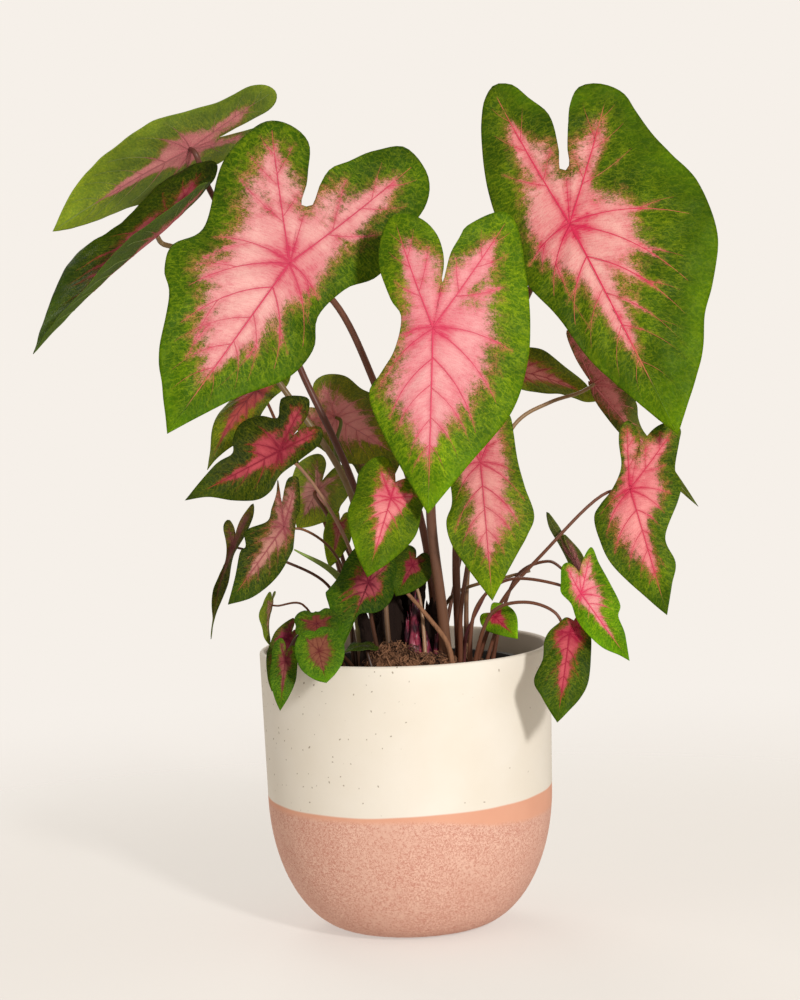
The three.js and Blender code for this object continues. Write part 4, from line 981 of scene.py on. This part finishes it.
    def surface(self, plan):
        """Where points of the plan are on the middle of the sheet, in mm."""
        leaf, length = self.leaf, self.length
        u, v = plan[:, 0], plan[:, 1]
        across = np.abs(v)
        place, share = self.polar(plan)
        axis = math.atan2(leaf["notch"][1], -leaf["notch"][0])
        turn, out = np.arctan2(v, u), np.hypot(u, v)
        off = np.mod(turn - axis + math.pi, 2 * math.pi) - math.pi
        above = np.clip((out / leaf["notch"][0] - 1.1) / 0.35, 0, 1)
        turn = turn - off * leaf.get("shut", 0) * above * np.exp(-((off / 0.16) ** 2))
        u, v = out * np.cos(turn), out * np.sin(turn)
        t = u / length
        lift = leaf["arch"] * np.where(t > 0, 4 * t * (1 - t), 2 * t)
        pairs = (leaf.get(key, (0, 0)) for key in ("cup", "fold"))
        cup, fold = (np.where(v < 0, left, right) for right, left in pairs)
        lift += cup * (across / length) ** 2 * 4
        lift += leaf["wave"] * share**3 * np.sin(WAVES * 2 * math.pi * place)
        lift += (np.hypot(across, SOFT) - SOFT) * np.sin(np.radians(fold))
        puff = 1 - np.exp(-((self.nearest(plan, (0, 1, 2)) / (0.05 * length)) ** 2))
        lift += PUFF * length * puff * (1 - share**4)
        ripples = [noise.noise((*(point / RIPPLE_WIDTH), length)) for point in plan]
        lift += RIPPLE * length * share * ripples
        flat = np.outer(u, self.tip) + np.outer(v * np.cos(np.radians(fold)), self.side)
        return self.at + flat + np.outer(lift, self.up)


def segment_distance(points, starts, ends):
    """The distance from each point to each segment, in the plane."""
    span = ends - starts
    offset = points[:, None, :] - starts[None]
    share = (offset * span).sum(2) / np.maximum((span**2).sum(1), 1e-9)
    share = np.clip(share, 0, 1)
    return np.linalg.norm(offset - share[:, :, None] * span[None], axis=2)


def sheet_faces(count, rows):
    """The faces of a sheet whose points are its hub and then rows of points, ring after ring."""
    faces = []
    for i in range(count):
        after = (i + 1) % count
        faces.append((0, 1 + i, 1 + after))
        for j in range(rows - 1):
            a = 1 + j * count
            faces.append((a + i, a + count + i, a + count + after, a + after))
    return faces


def ribbon(shape, tree, blade, vein, stretch, profile, skin_index, looks):
    """A vein: a low ridge on a face of the sheet that thins towards its end. Its profile has, from side
    to side, the place in half widths, the height, and how much of the vein's own colour it shows."""
    stations = STATIONS[blade.leaf["size"]][vein["order"]]
    plan = vein["plan"][np.linspace(0, len(vein["plan"]) - 1, stations).round().astype(int)]
    line = blade.surface(plan)
    ahead = np.gradient(line, axis=0)
    share = np.linspace(0, 1, len(line))
    halves = vein["width"] * stretch * (1 - 0.65 * share) / 2
    count = len(profile)
    points = []
    for centre, direction, half, along in zip(line, ahead, halves, share):
        normal = np.array(tree.find_nearest(centre)[1])
        beside = unit(np.cross(normal, unit(direction)))
        for k, rise, _ in profile:
            spot, face_normal, _, _ = tree.find_nearest(centre + beside * half * k)
            points.append(np.array(spot) + np.array(face_normal) * rise * (1 - 0.6 * along))
    faces = []
    for j in range(len(line) - 1):
        for k in range(count - 1):
            a = j * count + k
            faces.append((a, a + count, a + count + 1, a + 1))
        faces.append((j * count + count - 1, j * count + 2 * count - 1, j * count + count, j * count))
    last = (len(line) - 1) * count
    faces += [tuple(range(count)), tuple(last + k for k in reversed(range(count)))]
    marked = marks(blade, plan, looks)
    reach = np.clip((blade.length - 80) / 90, 0.15, 1.1) + 0.8 * (vein["order"] == 0)
    shown = np.clip((marked["pink"] + reach) / 0.7, 0, 1) * (0.7 if vein["order"] == 3 else 1)
    values = {key: np.repeat(value, count, axis=0) for key, value in marked.items()}
    steps = np.gradient(plan, axis=0)
    steps /= np.linalg.norm(steps, axis=1)[:, None]
    beside = np.stack([-steps[:, 1], steps[:, 0]], 1)
    places = np.array([k for k, _, _ in profile])
    spread = plan[:, None] + beside[:, None] * halves[:, None, None] * places[None, :, None]
    values.update(pattern(blade, spread.reshape(-1, 2)))
    values["near"] = np.abs(np.outer(halves, places)).ravel() / blade.length
    values["ridge"] = np.outer(shown, [tone for _, _, tone in profile]).ravel()
    shape.add(np.array(points) / 1000, faces, skin_index, **values)


def pattern(blade, plan):
    """Where points are in the grain of the leaf: plainly, and drawn out along its side veins."""
    size = (blade.length / 180) ** 0.6
    u, v = plan[:, 0] / blade.length, plan[:, 1] / blade.length
    lean = np.radians(np.where(u > 0, 75 - 30 * u, 75 - 55 * u))
    over, along = u * np.sin(lean) - np.abs(v) * np.cos(lean), u * np.cos(lean) + np.abs(v) * np.sin(lean)
    streak = np.stack([over * size, along * size, np.sign(v) * 3 + blade.at[0]], 1)
    return {"streak": streak, "plan": np.stack([u * size, v * size, u * 0 + blade.at[1]], 1)}


def marks(blade, plan, looks):
    """The values that colour a point: pink is 0.5 at the edge of the pink middle."""
    length = blade.length
    border = blade.border(plan) / length
    main = np.exp(-((blade.nearest(plan, (0, 1)) / (0.05 * length)) ** 2))
    main = main * (1 - 0.75 * np.clip((blade.polar(plan)[1] - 0.55) / 0.35, 0, 1))
    minor = np.exp(-((blade.nearest(plan, (2, 3)) / (0.013 * length)) ** 2))
    hub = np.linalg.norm(plan, axis=1) / length
    notch = unit(np.array([-blade.leaf["notch"][0], blade.leaf["notch"][1]], float))
    in_notch = np.clip((plan @ notch / (hub * length + 1e-6) - 0.84) / 0.12, 0, 1)
    in_notch *= np.clip((0.55 - hub) / 0.2, 0, 1)
    from_hub = np.clip((hub - 0.06) / 0.26, 0, 1)
    forward = plan[:, 0] / length
    right, left = (np.interp(forward, *zip(*k)) if isinstance(k, list) else k for k in looks[3:])
    wide = np.where(plan[:, 1] < 0, left, right)
    wide = wide + 0.05 * np.clip(forward, 0, 1) + 0.26 * np.clip(forward - 0.5, 0, 1)
    wide = wide * (0.3 + 0.7 * from_hub**2 * (3 - 2 * from_hub)) * (1 - 0.85 * in_notch)
    band = wide * (1 - np.maximum(0.66 * main, SPIKES[blade.leaf["size"]] * minor))
    pink = 0.5 + (border - band) / (0.14 * (180 / length) ** 0.25)
    near = blade.nearest(plan, (0, 1, 2, 3)) / length
    tones = [np.tile(colour(*tone)[:3], (len(plan), 1)) for tone in looks[:3]]
    values = {"pink": pink, "near": near, "hub": hub, "forward": forward}
    return {**values, **pattern(blade, plan), "green": tones[0], "pale": tones[1], "strong": tones[2]}


# The colours of a stalk at its top and its foot, where they aren't the usual brown; the dark brown at a foot
# is painted shade.
STALKS = {
    "02": ((112, 76, 58), (124, 86, 64)),
    "04": ((104, 62, 50), STEM_PAINTED_SHADE),
    "05": ((128, 106, 70), STEM_PAINTED_SHADE),
    "06": ((158, 116, 92), STEM_PAINTED_SHADE),
    "08": (STEM_GREEN, (90, 68, 46)),
    "10": (STEM_TAN, STEM_PAINTED_SHADE),
    "13": ((150, 118, 80), STEM_BROWN),
    "20": (STEM_TAN, STEM_TAN),
    "26": ((132, 88, 58), STEM_PAINTED_SHADE),
}
# How much thicker than the plain solid a stalk is, by its own number or by the size of its leaf.
STOUT = {
    "large": 1.4, "medium": 1.2, "small": 1,
    "02": 1.75, "04": 1.4, "05": 1.3, "06": 0.95, "07": 1, "11": 1.15, "12": 0.95, "13": 1.1, "14": 1,
    "15": 0.9, "16": 0.9, "17": 0.9, "19": 1.1, "23": 0.65, "26": 0.75, "27": 0.8,
}


# ---- leaves: skins ----
# The upper side is pale pink in the middle, with strong pink along the veins and a ragged edge that
# feathers into a mottled green border; the underside is the same pattern, duller and greyer.
def leaf_fields(paint):
    """What is kept at the points of a blade: numbers, and vectors and colours."""
    fields = {name: paint.stored(name) for name in ("pink", "near", "hub", "forward")}
    vectors = ("streak", "plan", "green", "pale", "strong")
    return {**fields, **{name: paint.stored(name, 1) for name in vectors}}


def leaf_colour(at):
    """The colour of a blade, how far into the pink a point is, the net of small veins, and raggedness."""
    plan, pink, streak = at["plan"], at["pink"], at["streak"]
    feather = streak.scaled(30, 4, 1).noise(1, 4, 0.6)
    rag = plan.noise(32, 5, 0.72)
    grit = streak.scaled(240, 90, 1).noise(1, 3, 0.8)
    grain = plan.noise(170, 3, 0.8)
    edge = pink + feather + rag * 1.2
    middle = (edge + grit * 1.3).step(0.2, 0.85)
    wander = plan.at("TexNoise", {}, {"Scale": 22, "Detail": 3}, out=1).scaled(2.6, 2.6, 0)
    lace_cell = streak.scaled(58, 22, 1).shifted(wander)
    lace = lace_cell.at("TexVoronoi", {"feature": "DISTANCE_TO_EDGE"}, {"Scale": 1}).step(0.14, 0.01)
    net_cell = plan.shifted(plan.at("TexNoise", {}, {"Scale": 24}, out=1).scaled(0.05, 0.05, 0.05))
    net = net_cell.at("TexVoronoi", {"feature": "DISTANCE_TO_EDGE"}, {"Scale": 60}).step(0.14, 0.02)
    wisp = streak.scaled(120, 20, 1).noise(1, 4, 0.75)
    patch = plan.noise(3.5, 4, 0.55).step(-0.16, 0.2)
    green = patch.blend(at["green"].scaled(0.6, 0.66, 0.6), at["green"].scaled(1.2, 1.2, 0.9))
    mottle = plan.noise(80, 3).step(-0.25, 0.25)
    green = mottle.blend(green.scaled(0.64, 0.7, 0.5), green.scaled(0.97, 0.97, 0.9))
    outer = edge.step(-0.9, -2.3) * 0.6 + at["forward"].step(0.25, 0.95) * 0.6
    green = outer.blend(green, green.scaled(2.0, 1.9, 0.7))
    fringe = edge.step(-1.8, -0.1)
    lit_green = green.scaled(2.7, 2.0, 0.9).shifted((0.06, 0.052, 0.004))
    lines = (wisp + grain * 0.7).step(-0.02, 0.2) * (fringe * 0.72 + 0.14)
    lines += lace * (fringe * 0.3 + 0.18)
    green = lines.blend(green, lit_green)
    ochre_tone = at["pale"].scaled(0.7, 0.42, 0.2)
    mottled = plan.noise(5, 2).step(-0.16, 0.1)
    speckled = (rag * 0.7 + grit + grain).step(-0.2, 0.2)
    ochre = (edge.step(-0.3, 0.4) * speckled * (mottled * 0.55 + 0.2)).blend(green, ochre_tone)
    near = (at["near"] + rag * 0.012).step(0.03, 0.0)
    core = at["hub"].step(0.24, 0.0)
    fine = streak.scaled(150, 22, 1).noise(1, 4, 0.8)
    blush = plan.noise(7, 3, 0.6).step(-0.12, 0.22)
    warm = fine.step(-0.08, 0.2) * 0.3 + near * 0.3 + core * 0.45
    warm = warm + edge.step(1.5, 0.5) * 0.26 + blush * 0.26 + 0.04
    rosy = warm.maths("MAXIMUM", warm, 0).blend(at["pale"], at["strong"])
    freckle = plan.noise(190, 3, 0.7).step(0.04, 0.16) * (edge.step(1.8, 0.7) * 0.6 + 0.25)
    rosy = (freckle * 0.5).blend(rosy, at["strong"].scaled(0.65, 1.8, 0.6))
    return middle.blend(ochre, rosy), middle, net, rag


leaf_face, shader, paint = skin("leaf_face", Specular_IOR_Level=0.08)
tint, _, net, rag = leaf_colour(leaf_fields(paint))
feed(shader, "Base Color", tint)
feed(shader, "Roughness", rag * 0.2 + 0.5)
emboss(shader, net * -0.5 + rag, 0.28, 0.0012)

leaf_back, shader, paint = skin("leaf_back", Specular_IOR_Level=0.12)
tint, middle, net, rag = leaf_colour(leaf_fields(paint))
grey = middle.blend(colour(102, 122, 50), colour(232, 156, 150))
feed(shader, "Base Color", (net * 0.2 + 0.24).blend(tint, grey))
feed(shader, "Roughness", rag * 0.2 + 0.6)
emboss(shader, net + rag, 0.3, 0.0012)

vein_face, shader, paint = skin("vein_face", Roughness=0.5, Specular_IOR_Level=0.15)
at = leaf_fields(paint)
tint, _, _, rag = leaf_colour(at)
fade = (at["pink"] + at["plan"].noise(40, 3) * 0.8).step(-1.15, -0.1)
deep = (at["pink"] + at["plan"].noise(30, 3)).step(0.0, 0.9)
dyed = deep.blend(at["pale"].scaled(0.64, 0.27, 0.18), at["strong"])
line = fade.blend(at["green"].scaled(1.3, 1.2, 1.1), dyed)
ridge = (paint.stored("ridge") + rag * 0.6).step(0.16, 0.85)
feed(shader, "Base Color", ridge.blend(tint, line))
emboss(shader, fade, 0.05, 0.0003)

vein_back, shader, paint = skin("vein_back", Roughness=0.5, Specular_IOR_Level=0.35)
at = leaf_fields(paint)
fade = (at["pink"] + at["plan"].noise(40, 3) * 0.5).step(-0.45, 0.2)
feed(shader, "Base Color", fade.blend(colour(118, 136, 70), at["pale"].scaled(0.7, 0.55, 0.6)))
emboss(shader, fade, 0.05, 0.0003)

# ---- leaves: blades and their stalks ----
# A blade has its veins pressed into the upper side and raised below; the stalk leaves the underside
# square to it, follows its own points and stands upright in the soil.
UPPER_VEIN = [
    (-2.6, -0.05, 0), (-1.2, 0.08, 0.4), (-0.45, 0.3, 1), (0.45, 0.3, 1), (1.2, 0.08, 0.4), (2.6, -0.05, 0),
]
LOWER_VEIN = [(-1, -0.06, 1), (-0.45, 0.38, 1), (0.45, 0.38, 1), (1, -0.06, 1)]
# How much wider the veins are below, the middle point of a plan, and how far out its last ring lies.
LOWER_STRETCH, HUB, INSIDE = 1.25, [[0.01, 0.0]], 0.9999
# How much a stalk swells at its foot, from which height down and over what height.
SWELL, SWELL_TOP, SWELL_DROP = 0.35, 270, 60
for leaf in LEAVES:
    number, size, blade, looks = leaf["number"], leaf["size"], Blade(leaf), LOOKS[leaf["number"]]
    count, rows = SPOKES[size], RINGS[size]
    share = (np.arange(1, rows + 1) / rows)[:, None, None]
    plan = np.concatenate([HUB, (blade.edges[None] * share * INSIDE).reshape(-1, 2)])
    middle_points = blade.surface(plan)
    faces = sheet_faces(count, rows)
    sheet_mesh = bpy.data.meshes.new("sheet")
    sheet_mesh.from_pydata(middle_points.tolist(), [], faces)
    normals = np.array([normal.vector for normal in sheet_mesh.vertex_normals])
    bpy.data.meshes.remove(sheet_mesh)
    upper, lower = middle_points + normals * SHEET / 2, middle_points - normals * SHEET / 2
    rim = [len(plan) - count + i for i in range(count)]
    both = len(plan)
    under = [tuple(both + k for k in reversed(face)) for face in faces]
    under += [(a, a + both, b + both, b) for a, b in zip(rim, rim[1:] + rim[:1])]
    values = {key: np.concatenate([value, value]) for key, value in marks(blade, plan, looks).items()}
    shape = Shape()
    shape.add(np.concatenate([upper, lower]) / 1000, faces + under, 0, **values)
    shape.skins[len(faces):] = [1] * len(under)
    top = BVHTree.FromPolygons(upper.tolist(), faces)
    bottom = BVHTree.FromPolygons(lower.tolist(), [tuple(reversed(face)) for face in faces])
    for vein in blade.veins:
        ribbon(shape, top, blade, vein, 1, UPPER_VEIN, 2, looks)
        ribbon(shape, bottom, blade, vein, LOWER_STRETCH, LOWER_VEIN, 3, looks)

    start = blade.at - blade.up * (SHEET / 2)
    neck = blade.at - blade.up * (leaf.get("neck", 10) + (0 if leaf.get("fused") else 0.7))
    centres = centripetal([start, neck, *leaf.get("via", ()), *stem_foot(leaf["base"])], 9)
    swell = 1 + SWELL * np.clip((SWELL_TOP - centres[:, 2]) / SWELL_DROP, 0, 1) ** 2
    widths = np.linspace(leaf.get("thin", 1.1), leaf.get("thick", 2), len(centres))
    widths = widths * STOUT.get(number, STOUT[size]) * swell
    # A stalk with its foot right of the middle keeps the usual brown there; any other gets the dark brown, as
    # painted shade.
    foot_tone_and_shade = STEM_BROWN if leaf["base"][0] > 25 else STEM_PAINTED_SHADE
    blade_piece = shape.build("blade_" + number, [leaf_face, leaf_back, vein_face, vein_back])
    stalk_piece = stem("stalk_" + number, centres, widths, *STALKS.get(number, (STEM_BROWN, foot_tone_and_shade)))
    name = "leaf_" + number
    nodes = (name, name) if leaf.get("fused") else (name + "_blade", name + "_petiole")
    place_piece(blade_piece, "leaf", nodes[0])
    place_piece(stalk_piece, "stem", nodes[1])
